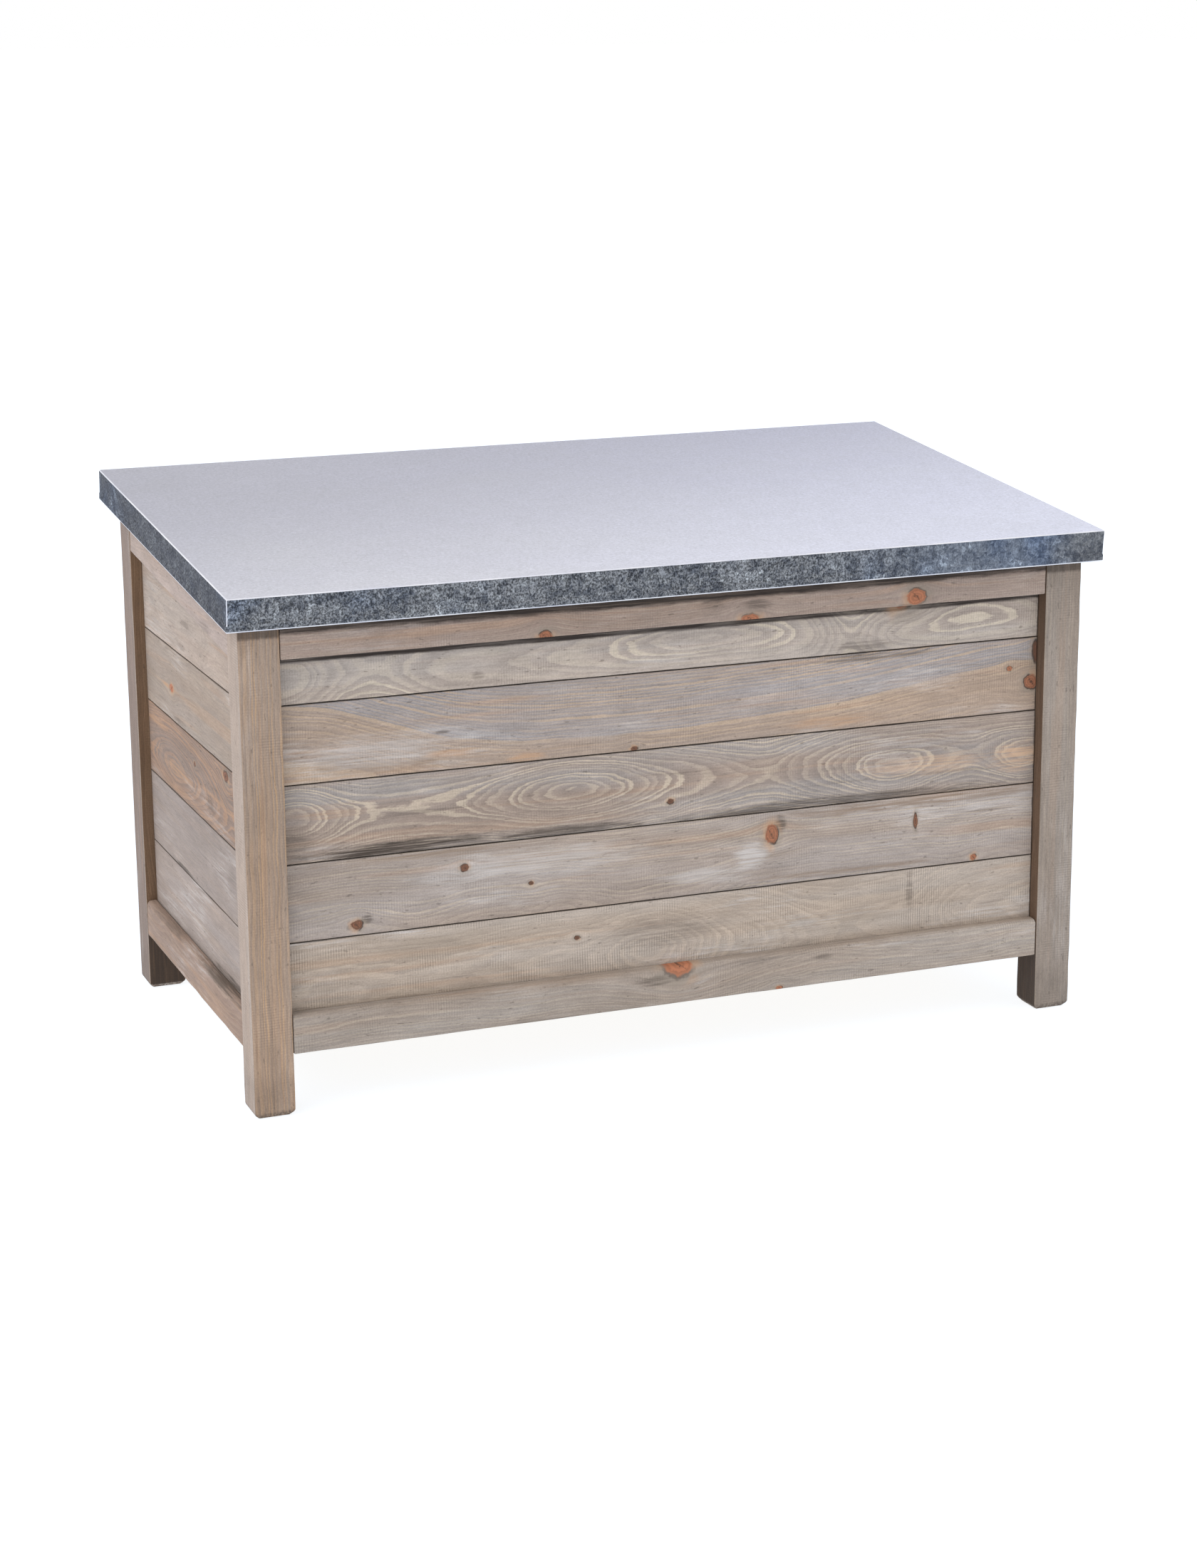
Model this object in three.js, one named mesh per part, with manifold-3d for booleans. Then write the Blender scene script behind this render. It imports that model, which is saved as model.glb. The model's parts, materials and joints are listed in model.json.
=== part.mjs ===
// Potting bench: a boarded storage chest on four legs, under a sloping lid clad in sheet zinc.
// Millimetres, +Z up, +X to the right, +Y to the back. The origin is on the ground, under the
// middle of the whole bench. The lid's hinges are at the back, and two gas struts hold it up.

import * as THREE from "three";
import { mergeVertices } from "three/addons/utils/BufferGeometryUtils.js";
import Module from "manifold-3d";

const wasm = await Module();
wasm.setup();

// ---------------------------------------------------------------- driving dimensions
const GAP = 0.3; // left between pieces that touch
const OVERRUN = 2; // how far a cutting shape runs past what it cuts

const LID_WIDTH = 1170;
const LID_RUN = 670.5; // depth of the lid's top, measured level
const LID_RISE = 60.8; // the back of the lid stands this much higher
const LID_THICK = 41.1; // depth of the skirt
const LID_FRONT_HEIGHT = 654.6; // top of the lid's front edge
const SIDE_OVERHANG = 18.3;
const FRONT_OVERHANG = 26.3;
const BACK_OVERHANG = 35.5;

const LEG_WIDTH = 52; // along X
const LEG_DEPTH = 51; // along Y
const FOOT_CHAMFER_HEIGHT = 6.6;
const FOOT_CHAMFER_INSET = 6.2;

const RAIL_RECESS = 1; // rails sit this far behind the legs' faces
const LONG_PANEL_RECESS = 19; // boards of the front and the back behind the legs' faces
const END_PANEL_RECESS = 16; // boards of the two ends behind the legs' faces
const BOTTOM_RAIL_LOW = 78.6;
const BOTTOM_RAIL_HIGH = 129;
const BOTTOM_RAIL_ROUND = 7; // radius of the top outer edge
const LONG_TOP_RAIL_LOW = 571;
const END_TOP_RAIL_LOW = 565.3; // at the front leg's face; it rises with the lid

const BOARD_ROWS = 5;
const BOARD_THICK = 18;
const BOARD_PITCH = 98.93;
const BOARD_JOINT = 0.6; // open joint between two boards
const TOP_SEAM = 511.7; // joint under the top board
const END_TOP_CLEARANCE = 6; // top of the end boards below the lid

const BATTEN_WIDTH = 45;
const BATTEN_THICK = 18;
const BATTEN_TOP_CLEARANCE = 12;
const FLOOR_THICK = 12;
const BEARER_DEPTH = 28;
const BEARER_HEIGHT = 29;

const SHEET_THICK = 1;
const HEM_THICK = 2; // the sheet folded back on itself
const HEM_HEIGHT = 10;
const COVER_CORNER = 2.5; // radius of the cover's upright corners
const DECK_THICK = 18;
const LID_BATTEN_WIDTH = 60;

const HINGE_X = 380; // middle of each hinge, left and right
const HINGE_LENGTH = 80;
const HINGE_KNUCKLES = 5;
const LEAF_THICK = 2;
const FIXED_LEAF_HEIGHT = 30;
const MOVING_LEAF_DEPTH = 24;
const KNUCKLE_RADIUS = 5.2;
const KNUCKLE_BORE = 2.9;
const HINGE_PIN_RADIUS = 2.6;

const STRUT_X = 503; // plane of each strut, left and right
const STRUT_ARM = 280; // hinge line to either strut pivot
const STRUT_REST_ANGLE = THREE.MathUtils.degToRad(70); // between the two arms, lid closed
const LID_OPEN_ANGLE = THREE.MathUtils.degToRad(80);
const CYLINDER_RADIUS = 9;
const CYLINDER_BORE = 7.5;
const CYLINDER_BASE = 12; // from the lower pivot to the tube's closed end
const CYLINDER_WALL = 6; // thickness of the closed end
const GUIDE_LENGTH = 10;
const GUIDE_BORE = 4.3;
const ROD_RADIUS = 4;
const PISTON_RADIUS = 7;
const PISTON_LENGTH = 8;
const PISTON_REST_GAP = 4; // piston above the closed end, lid closed
const EYE_RADIUS = 8;
const EYE_WIDTH = 8;
const EYE_BORE = 4.3;
const STUD_RADIUS = 4;
const STUD_SHOULDER_RADIUS = 6;
const STUD_HEAD_THICK = 2;
const BRACKET_THICK = 3;
const BRACKET_LENGTH = 40;
const CHEST_BRACKET_ABOVE = 11; // plate above the lower stud

const ROUND_STEPS = 24; // sides of a round bar
const ARC_STEPS = 6; // steps in a rounded corner
const MERGE_DISTANCE = 1e-4;

// ---------------------------------------------------------------- worked-out places
const slope = Math.atan2(LID_RISE, LID_RUN);
const lidLength = Math.hypot(LID_RISE, LID_RUN); // front to back along the slope
const lean = LID_THICK * Math.sin(slope);

const lidTopFrontY = -(LID_RUN + lean) / 2;
const lidFrontY = lidTopFrontY + lean; // the lid's lower front edge
const lidFrontZ = LID_FRONT_HEIGHT - LID_THICK * Math.cos(slope);

const legOuterX = LID_WIDTH / 2 - SIDE_OVERHANG;
const legInnerX = legOuterX - LEG_WIDTH;
const legFrontY = lidTopFrontY + FRONT_OVERHANG;
const legBackY = lidTopFrontY + LID_RUN - BACK_OVERHANG;
const innerFrontY = legFrontY + LEG_DEPTH;
const innerBackY = legBackY - LEG_DEPTH;

const frontBoardY = legFrontY + LONG_PANEL_RECESS;
const backBoardY = legBackY - LONG_PANEL_RECESS;
const endBoardX = legOuterX - END_PANEL_RECESS;
const insideX = endBoardX - BOARD_THICK;
const insideFrontY = frontBoardY + BOARD_THICK;
const insideBackY = backBoardY - BOARD_THICK;

const floorLow = BOTTOM_RAIL_HIGH + GAP; // the battens stand on the bearers too, beside the floor

const undersideZ = (y) => lidFrontZ + (y - lidFrontY) * Math.tan(slope);
const frameTopZ = (y) => undersideZ(y) - GAP / Math.cos(slope);

const hingeDrop = GAP + KNUCKLE_RADIUS; // hinge line below the lid's underside
const hingeY = legBackY - RAIL_RECESS + GAP + KNUCKLE_RADIUS;
const hingeZ = undersideZ(hingeY) - hingeDrop / Math.cos(slope);
const hingeLidY = (hingeY - lidFrontY) * Math.cos(slope) + (hingeZ - lidFrontZ) * Math.sin(slope);

const deckLow = LID_THICK - SHEET_THICK - GAP - DECK_THICK;
const lidBattenHigh = deckLow - GAP;
const coreInset = HEM_THICK + GAP;
const studLidZ = lidBattenHigh / 2;
const studLidY = hingeLidY - Math.sqrt(STRUT_ARM ** 2 - (studLidZ + hingeDrop) ** 2);

// The lower pivot is as far from the hinge line as the upper one. The strut then turns through
// exactly half the lid's angle, both on the chest and on the lid.
const upperArmAngle = Math.atan2(studLidZ + hingeDrop, studLidY - hingeLidY) + slope;
const lowerArmAngle = upperArmAngle + STRUT_REST_ANGLE;
const pivotY = hingeY + STRUT_ARM * Math.cos(lowerArmAngle);
const pivotZ = hingeZ + STRUT_ARM * Math.sin(lowerArmAngle);
const upperPivotY = hingeY + STRUT_ARM * Math.cos(upperArmAngle);
const upperPivotZ = hingeZ + STRUT_ARM * Math.sin(upperArmAngle);
const strutAngle = Math.atan2(upperPivotZ - pivotZ, upperPivotY - pivotY);
const strutClosed = 2 * STRUT_ARM * Math.sin(STRUT_REST_ANGLE / 2);
const strutOpen = 2 * STRUT_ARM * Math.sin((STRUT_REST_ANGLE + LID_OPEN_ANGLE) / 2);
const boreLow = CYLINDER_BASE + CYLINDER_WALL;
const pistonLow = boreLow + PISTON_REST_GAP;
const rodLength = strutClosed - pistonLow; // upper pivot to the piston's face
const boreHigh = strutOpen - rodLength + PISTON_LENGTH + PISTON_REST_GAP;
const cylinderLength = boreHigh + GUIDE_LENGTH;

// ---------------------------------------------------------------- materials
const wood = (color) => new THREE.MeshStandardMaterial({ color, roughness: 0.8, metalness: 0 });
const metal = (color, roughness) => new THREE.MeshStandardMaterial({ color, roughness, metalness: 1 });

const weatheredPine = wood(0xa8998c);
const innerPine = wood(0xb59a78);
const plywood = wood(0xb48e63);
const zinc = metal(0xa9adb8, 0.45);
const hingeSteel = metal(0x9b9c9e, 0.4);
const blackSteel = metal(0x24262a, 0.35);
const chrome = metal(0xd8dade, 0.12);

// ---------------------------------------------------------------- solids
function toSolid(geometry) {
  const plain = geometry.clone();
  plain.deleteAttribute("normal");
  plain.deleteAttribute("uv");
  const merged = mergeVertices(plain, MERGE_DISTANCE);
  return new wasm.Manifold(new wasm.Mesh({
    numProp: 3,
    vertProperties: new Float32Array(merged.attributes.position.array),
    triVerts: new Uint32Array(merged.index.array),
  }));
}

function toGeometry(solid) {
  const mesh = solid.getMesh();
  const geometry = new THREE.BufferGeometry();
  geometry.setAttribute("position", new THREE.BufferAttribute(new Float32Array(mesh.vertProperties), 3));
  geometry.setIndex(new THREE.BufferAttribute(new Uint32Array(mesh.triVerts), 1));
  geometry.computeVertexNormals();
  return geometry;
}

function block(low, high) {
  const size = high.map((value, i) => value - low[i]);
  const geometry = new THREE.BoxGeometry(...size);
  return geometry.translate(...low.map((value, i) => value + size[i] / 2));
}

function outline(points) {
  return new THREE.Shape(points.map(([x, y]) => new THREE.Vector2(x, y)));
}

// A shape drawn in (y, z), carried along X from x0 to x1.
function alongX(shape, x0, x1) {
  const geometry = new THREE.ExtrudeGeometry(shape, {
    depth: x1 - x0, bevelEnabled: false, curveSegments: ARC_STEPS,
  });
  const turn = new THREE.Matrix4().makeBasis(
    new THREE.Vector3(0, 1, 0),
    new THREE.Vector3(0, 0, 1),
    new THREE.Vector3(1, 0, 0),
  );
  return geometry.applyMatrix4(turn).translate(x0, 0, 0);
}

// A round bar along X through (y, z).
function barX(radius, x0, x1, y = 0, z = 0) {
  const geometry = new THREE.CylinderGeometry(radius, radius, x1 - x0, ROUND_STEPS);
  return geometry.rotateZ(Math.PI / 2).translate((x0 + x1) / 2, y, z);
}

// A turned piece about Z, from an outline in (radius, height).
function turned(points) {
  const profile = points.map(([x, y]) => new THREE.Vector2(x, y));
  return new THREE.LatheGeometry(profile, ROUND_STEPS).rotateX(Math.PI / 2);
}

function add(parent, name, geometry, material) {
  const mesh = new THREE.Mesh(geometry, material);
  mesh.name = name;
  parent.add(mesh);
  return mesh;
}

const ends = [["left", -1], ["right", 1]];
const bench = new THREE.Group();

// ---------------------------------------------------------------- legs
// Everything above the sloping plane on which the lid closes.
function aboveFrame() {
  const low = [-LID_WIDTH, -LID_RUN, 0];
  const high = [LID_WIDTH, 2 * LID_RUN, LID_RUN];
  const geometry = block(low, high).rotateX(slope);
  return toSolid(geometry.translate(0, lidFrontY, frameTopZ(lidFrontY)));
}

function legGeometry(x, y) {
  const section = outline([
    [x - LEG_WIDTH / 2, y - LEG_DEPTH / 2],
    [x + LEG_WIDTH / 2, y - LEG_DEPTH / 2],
    [x + LEG_WIDTH / 2, y + LEG_DEPTH / 2],
    [x - LEG_WIDTH / 2, y + LEG_DEPTH / 2],
  ]);
  const post = new THREE.ExtrudeGeometry(section, {
    depth: LID_FRONT_HEIGHT + LID_RISE,
    bevelThickness: FOOT_CHAMFER_HEIGHT,
    bevelSize: FOOT_CHAMFER_INSET,
    bevelOffset: -FOOT_CHAMFER_INSET,
    bevelSegments: 1,
  });
  post.translate(0, 0, FOOT_CHAMFER_HEIGHT);
  return toGeometry(toSolid(post).subtract(aboveFrame()));
}

for (const [end, side] of ends) {
  const x = side * (legOuterX - LEG_WIDTH / 2);
  add(bench, `leg_front_${end}`, legGeometry(x, legFrontY + LEG_DEPTH / 2), weatheredPine);
  add(bench, `leg_back_${end}`, legGeometry(x, legBackY - LEG_DEPTH / 2), weatheredPine);
}

// ---------------------------------------------------------------- front and back panels
// toBack is +1 where the panel's inside lies towards the back, and -1 on the back panel.
function longRail(faceY, toBack, low, topZ) {
  const outer = faceY + toBack * RAIL_RECESS;
  const inner = faceY + toBack * (LONG_PANEL_RECESS - GAP);
  const corners = [[outer, low], [inner, low], [inner, topZ(inner)], [outer, topZ(outer)]];
  return alongX(outline(corners), -legInnerX + GAP, legInnerX - GAP);
}

// A rail with its top outer edge rounded. (u, z) runs from the outer face (0) to the inside.
function roundedSection(depth) {
  const shape = new THREE.Shape();
  shape.moveTo(0, BOTTOM_RAIL_LOW);
  shape.lineTo(depth, BOTTOM_RAIL_LOW);
  shape.lineTo(depth, BOTTOM_RAIL_HIGH);
  shape.absarc(BOTTOM_RAIL_ROUND, BOTTOM_RAIL_HIGH - BOTTOM_RAIL_ROUND, BOTTOM_RAIL_ROUND,
    Math.PI / 2, Math.PI, false);
  return shape;
}

function longBottomRail(faceY, toBack) {
  const depth = LONG_PANEL_RECESS - GAP - RAIL_RECESS;
  const geometry = alongX(roundedSection(depth), -legInnerX + GAP, legInnerX - GAP);
  if (toBack < 0) {
    geometry.rotateZ(Math.PI);
  }
  return geometry.translate(0, faceY + toBack * RAIL_RECESS, 0);
}

function boardLow(row) {
  return TOP_SEAM - (row - 1) * BOARD_PITCH + BOARD_JOINT / 2;
}

function boardHigh(row) {
  return boardLow(row) + BOARD_PITCH - BOARD_JOINT;
}

const longPanels = [
  ["front", legFrontY, 1],
  ["back", legBackY, -1],
];

for (const [panel, faceY, toBack] of longPanels) {
  const outer = faceY + toBack * LONG_PANEL_RECESS;
  const inner = outer + toBack * BOARD_THICK;
  add(bench, `${panel}_top_rail`, longRail(faceY, toBack, LONG_TOP_RAIL_LOW, frameTopZ), weatheredPine);
  add(bench, `${panel}_bottom_rail`, longBottomRail(faceY, toBack), weatheredPine);
  for (let row = 1; row <= BOARD_ROWS; row += 1) {
    const low = [-legInnerX + GAP, Math.min(outer, inner), boardLow(row)];
    const high = [legInnerX - GAP, Math.max(outer, inner), boardHigh(row)];
    add(bench, `${panel}_board_${row}`, block(low, high), weatheredPine);
  }
  const battenOuter = inner + toBack * GAP;
  const battenInner = battenOuter + toBack * BATTEN_THICK;
  const battenTop = boardHigh(1) - BATTEN_TOP_CLEARANCE;
  const low = [-BATTEN_WIDTH / 2, Math.min(battenOuter, battenInner), floorLow];
  const high = [BATTEN_WIDTH / 2, Math.max(battenOuter, battenInner), battenTop];
  add(bench, `${panel}_batten`, block(low, high), innerPine);
}

// ---------------------------------------------------------------- end panels
// side is -1 on the left and +1 on the right; a piece lies between depths u0 and u1 from the face.
function endPiece(side, u0, u1, shape) {
  const xs = [side * (legOuterX - u0), side * (legOuterX - u1)];
  return alongX(shape, Math.min(...xs), Math.max(...xs));
}

function endRailLow(y) {
  return END_TOP_RAIL_LOW + (y - legFrontY) * Math.tan(slope);
}

function endBoardTop(y) {
  return undersideZ(y) - END_TOP_CLEARANCE;
}

const panelFrontY = innerFrontY + GAP;
const panelBackY = innerBackY - GAP;

function endBottomRail(side) {
  const depth = END_PANEL_RECESS - GAP - RAIL_RECESS;
  const geometry = new THREE.ExtrudeGeometry(roundedSection(depth), {
    depth: panelBackY - panelFrontY, bevelEnabled: false, curveSegments: ARC_STEPS,
  });
  // The section's u runs inwards along X and its z stays upright.
  geometry.rotateX(Math.PI / 2);
  if (side < 0) {
    return geometry.translate(-legOuterX + RAIL_RECESS, panelBackY, 0);
  }
  return geometry.rotateZ(Math.PI).translate(legOuterX - RAIL_RECESS, panelFrontY, 0);
}

for (const [end, side] of ends) {
  const topRail = outline([
    [panelFrontY, endRailLow(panelFrontY)],
    [panelBackY, endRailLow(panelBackY)],
    [panelBackY, frameTopZ(panelBackY)],
    [panelFrontY, frameTopZ(panelFrontY)],
  ]);
  const railGeometry = endPiece(side, RAIL_RECESS, END_PANEL_RECESS - GAP, topRail);
  add(bench, `${end}_top_rail`, railGeometry, weatheredPine);
  add(bench, `${end}_bottom_rail`, endBottomRail(side), weatheredPine);
  for (let row = 1; row <= BOARD_ROWS; row += 1) {
    const highAtFront = row === 1 ? endBoardTop(panelFrontY) : boardHigh(row);
    const highAtBack = row === 1 ? endBoardTop(panelBackY) : boardHigh(row);
    const face = outline([
      [panelFrontY, boardLow(row)],
      [panelBackY, boardLow(row)],
      [panelBackY, highAtBack],
      [panelFrontY, highAtFront],
    ]);
    const board = endPiece(side, END_PANEL_RECESS, END_PANEL_RECESS + BOARD_THICK, face);
    add(bench, `${end}_board_${row}`, board, weatheredPine);
  }
  const battenTop = undersideZ(-BATTEN_WIDTH / 2) - BATTEN_TOP_CLEARANCE;
  const battenFace = outline([
    [-BATTEN_WIDTH / 2, floorLow],
    [BATTEN_WIDTH / 2, floorLow],
    [BATTEN_WIDTH / 2, battenTop],
    [-BATTEN_WIDTH / 2, battenTop],
  ]);
  const inner = END_PANEL_RECESS + BOARD_THICK + GAP;
  add(bench, `${end}_batten`, endPiece(side, inner, inner + BATTEN_THICK, battenFace), innerPine);
}

// ---------------------------------------------------------------- floor
for (const [panel, wallY, toBack] of [["front", insideFrontY, 1], ["back", insideBackY, -1]]) {
  const near = wallY + toBack * GAP;
  const far = near + toBack * BEARER_DEPTH;
  const low = [-legInnerX + GAP, Math.min(near, far), BOTTOM_RAIL_HIGH - BEARER_HEIGHT];
  const high = [legInnerX - GAP, Math.max(near, far), BOTTOM_RAIL_HIGH];
  add(bench, `floor_bearer_${panel}`, block(low, high), innerPine);
}

// The floor panel fills the chest, notched round the legs and the battens.
function floorGeometry() {
  const high = floorLow + FLOOR_THICK;
  const wideX = insideX - GAP;
  const frontY = insideFrontY + GAP;
  const backY = insideBackY - GAP;
  const battenReach = BATTEN_THICK + 2 * GAP; // from a wall to clear of its batten
  const battenSide = BATTEN_WIDTH / 2 + GAP;
  let panel = toSolid(block([-wideX, frontY, floorLow], [wideX, backY, high]));
  const notch = (lowX, lowY, highX, highY) => {
    const cut = block([lowX, lowY, floorLow - OVERRUN], [highX, highY, high + OVERRUN]);
    panel = panel.subtract(toSolid(cut));
  };
  const legX = legInnerX - GAP;
  const outX = wideX + OVERRUN;
  for (const [lowX, highX] of [[-outX, -legX], [legX, outX]]) {
    notch(lowX, frontY - OVERRUN, highX, innerFrontY + GAP);
    notch(lowX, innerBackY - GAP, highX, backY + OVERRUN);
  }
  notch(-battenSide, frontY - OVERRUN, battenSide, insideFrontY + battenReach);
  notch(-battenSide, insideBackY - battenReach, battenSide, backY + OVERRUN);
  notch(-outX, -battenSide, battenReach - insideX, battenSide);
  notch(insideX - battenReach, -battenSide, outX, battenSide);
  return toGeometry(panel);
}

add(bench, "floor_panel", floorGeometry(), plywood);

// ---------------------------------------------------------------- lid
// Drawn level, with its lower front edge on the X axis, and then tipped to the slope.
const lid = new THREE.Group();
lid.position.set(0, lidFrontY, lidFrontZ);
lid.rotation.x = slope;
bench.add(lid);

// A rectangle inset from the lid's plan, with round corners.
function lidPlan(inset, radius) {
  const x = LID_WIDTH / 2 - inset;
  const low = inset;
  const high = lidLength - inset;
  const shape = new THREE.Shape();
  shape.absarc(x - radius, low + radius, radius, -Math.PI / 2, 0, false);
  shape.absarc(x - radius, high - radius, radius, 0, Math.PI / 2, false);
  shape.absarc(-x + radius, high - radius, radius, Math.PI / 2, Math.PI, false);
  shape.absarc(-x + radius, low + radius, radius, Math.PI, 1.5 * Math.PI, false);
  return shape;
}

function lidLayer(inset, radius, low, high) {
  const geometry = new THREE.ExtrudeGeometry(lidPlan(inset, radius), {
    depth: high - low, bevelEnabled: false, curveSegments: ARC_STEPS,
  });
  return toSolid(geometry.translate(0, 0, low));
}

function zincCoverGeometry() {
  const outer = lidLayer(0, COVER_CORNER, 0, LID_THICK);
  const hemRoom = lidLayer(HEM_THICK, COVER_CORNER - HEM_THICK, -OVERRUN, HEM_HEIGHT);
  const room = lidLayer(SHEET_THICK, COVER_CORNER - SHEET_THICK, HEM_HEIGHT, LID_THICK - SHEET_THICK);
  return toGeometry(outer.subtract(hemRoom.add(room)));
}

const coreX = LID_WIDTH / 2 - coreInset;
const coreFront = coreInset;
const coreBack = lidLength - coreInset;
const openFront = coreFront + LID_BATTEN_WIDTH;
const openBack = coreBack - LID_BATTEN_WIDTH;
const openX = coreX - LID_BATTEN_WIDTH;

add(lid, "zinc_cover", zincCoverGeometry(), zinc);
add(lid, "lid_deck", block([-coreX, coreFront, deckLow], [coreX, coreBack, deckLow + DECK_THICK]), plywood);
add(lid, "lid_batten_front", block([-coreX, coreFront, 0], [coreX, openFront, lidBattenHigh]), innerPine);
add(lid, "lid_batten_back", block([-coreX, openBack, 0], [coreX, coreBack, lidBattenHigh]), innerPine);
for (const [end, side] of ends) {
  const xs = [side * coreX, side * openX];
  const low = [Math.min(...xs), openFront + GAP, 0];
  const high = [Math.max(...xs), openBack - GAP, lidBattenHigh];
  add(lid, `lid_batten_${end}`, block(low, high), innerPine);
}

// ---------------------------------------------------------------- hinges
// Both leaves are drawn about the hinge line. plateLow and plateHigh are the plate's corners in
// (y, z). Knuckles of the given parity belong to this leaf, and the others are cleared away
// between clearLow and clearHigh.
function leafGeometry(x, plateLow, plateHigh, parity, clearLow, clearHigh) {
  const start = x - HINGE_LENGTH / 2;
  const plate = toSolid(block([start, ...plateLow], [start + HINGE_LENGTH, ...plateHigh]));
  const barrel = toSolid(barX(KNUCKLE_RADIUS, start, start + HINGE_LENGTH));
  const bore = toSolid(barX(KNUCKLE_BORE, start - OVERRUN, start + HINGE_LENGTH + OVERRUN));
  let leaf = plate.add(barrel).subtract(bore);
  const pitch = HINGE_LENGTH / HINGE_KNUCKLES;
  for (let i = 0; i < HINGE_KNUCKLES; i += 1) {
    if (i % 2 !== parity) {
      const atStart = i === 0 ? OVERRUN : GAP / 2;
      const atEnd = i === HINGE_KNUCKLES - 1 ? OVERRUN : GAP / 2;
      const low = [start + i * pitch - atStart, ...clearLow];
      const high = [start + (i + 1) * pitch + atEnd, ...clearHigh];
      leaf = leaf.subtract(toSolid(block(low, high)));
    }
  }
  return toGeometry(leaf);
}

const reach = KNUCKLE_RADIUS + OVERRUN;
const clearance = KNUCKLE_RADIUS + GAP;

for (const [end, side] of ends) {
  const x = side * HINGE_X;
  const fixed = leafGeometry(
    x,
    [-KNUCKLE_RADIUS, -FIXED_LEAF_HEIGHT],
    [-KNUCKLE_RADIUS + LEAF_THICK, 0],
    0,
    [-reach, -clearance],
    [reach, reach],
  );
  add(bench, `hinge_${end}_fixed_leaf`, fixed, hingeSteel).position.set(0, hingeY, hingeZ);
  const moving = leafGeometry(
    x,
    [0, KNUCKLE_RADIUS - LEAF_THICK],
    [MOVING_LEAF_DEPTH, KNUCKLE_RADIUS],
    1,
    [-reach, -reach],
    [clearance, reach],
  );
  add(lid, `hinge_${end}_moving_leaf`, moving, hingeSteel).position.set(0, hingeLidY, -hingeDrop);
  const pin = barX(HINGE_PIN_RADIUS, x - HINGE_LENGTH / 2, x + HINGE_LENGTH / 2);
  add(bench, `hinge_${end}_pin`, pin, hingeSteel).position.set(0, hingeY, hingeZ);
}

// ---------------------------------------------------------------- gas struts
// A strut is drawn upright on its lower pivot, with the studs along X, and then tipped over.
function eye(z) {
  return toSolid(barX(EYE_RADIUS, -EYE_WIDTH / 2, EYE_WIDTH / 2, 0, z));
}

function eyeHole(z) {
  return toSolid(barX(EYE_BORE, -EYE_WIDTH, EYE_WIDTH, 0, z));
}

function cylinderGeometry() {
  const tube = toSolid(turned([
    [0, 0],
    [ROD_RADIUS, 0],
    [ROD_RADIUS, CYLINDER_BASE],
    [CYLINDER_RADIUS, CYLINDER_BASE],
    [CYLINDER_RADIUS, cylinderLength],
    [GUIDE_BORE, cylinderLength],
    [GUIDE_BORE, boreHigh],
    [CYLINDER_BORE, boreHigh],
    [CYLINDER_BORE, boreLow],
    [0, boreLow],
  ]));
  return toGeometry(tube.add(eye(0)).subtract(eyeHole(0)));
}

function rodGeometry() {
  const rod = toSolid(turned([
    [0, pistonLow],
    [PISTON_RADIUS, pistonLow],
    [PISTON_RADIUS, pistonLow + PISTON_LENGTH],
    [ROD_RADIUS, pistonLow + PISTON_LENGTH],
    [ROD_RADIUS, strutClosed],
    [0, strutClosed],
  ]));
  return toGeometry(rod.add(eye(strutClosed)).subtract(eyeHole(strutClosed)));
}

// A plate with a shouldered stud that points along +X from its face, and a head that holds the eye.
// The stud's axis is the X axis, and the middle of the eye is at x = 0.
function bracketGeometry(plateX, low, high) {
  const eyeSide = EYE_WIDTH / 2 + GAP;
  const plate = toSolid(block([plateX, ...low], [plateX + BRACKET_THICK, ...high]));
  const shoulder = toSolid(barX(STUD_SHOULDER_RADIUS, plateX, -eyeSide));
  const stud = toSolid(barX(STUD_RADIUS, plateX, eyeSide + STUD_HEAD_THICK));
  const head = toSolid(barX(STUD_SHOULDER_RADIUS, eyeSide, eyeSide + STUD_HEAD_THICK));
  return toGeometry(plate.add(shoulder).add(stud).add(head));
}

for (const [end, side] of ends) {
  const strut = new THREE.Group();
  strut.position.set(side * STRUT_X, pivotY, pivotZ);
  strut.rotation.x = strutAngle - Math.PI / 2;
  bench.add(strut);
  add(strut, `strut_${end}_cylinder`, cylinderGeometry(), blackSteel);
  add(strut, `strut_${end}_rod`, rodGeometry(), chrome);

  const chestPlateX = STRUT_X - insideX + GAP;
  const chestBracket = bracketGeometry(
    chestPlateX,
    [-BRACKET_LENGTH / 2, CHEST_BRACKET_ABOVE - BRACKET_LENGTH],
    [BRACKET_LENGTH / 2, CHEST_BRACKET_ABOVE],
  );
  const lidPlateX = STRUT_X - openX + GAP;
  const lidBracket = bracketGeometry(
    lidPlateX,
    [-BRACKET_LENGTH / 2, -EYE_RADIUS],
    [BRACKET_LENGTH / 2, EYE_RADIUS],
  );
  if (side > 0) {
    chestBracket.rotateZ(Math.PI);
    lidBracket.rotateZ(Math.PI);
  }
  const onChest = add(bench, `strut_${end}_chest_bracket`, chestBracket, hingeSteel);
  onChest.position.set(side * STRUT_X, pivotY, pivotZ);
  const onLid = add(lid, `strut_${end}_lid_bracket`, lidBracket, hingeSteel);
  onLid.position.set(side * STRUT_X, studLidY, studLidZ);
}

export default bench;
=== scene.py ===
"""Looks of the potting bench: grey-washed softwood, a sheet-zinc lid, its hinges and its gas struts."""

import math
import json

import bmesh
import bpy
from mathutils import Matrix, Vector, noise


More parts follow.
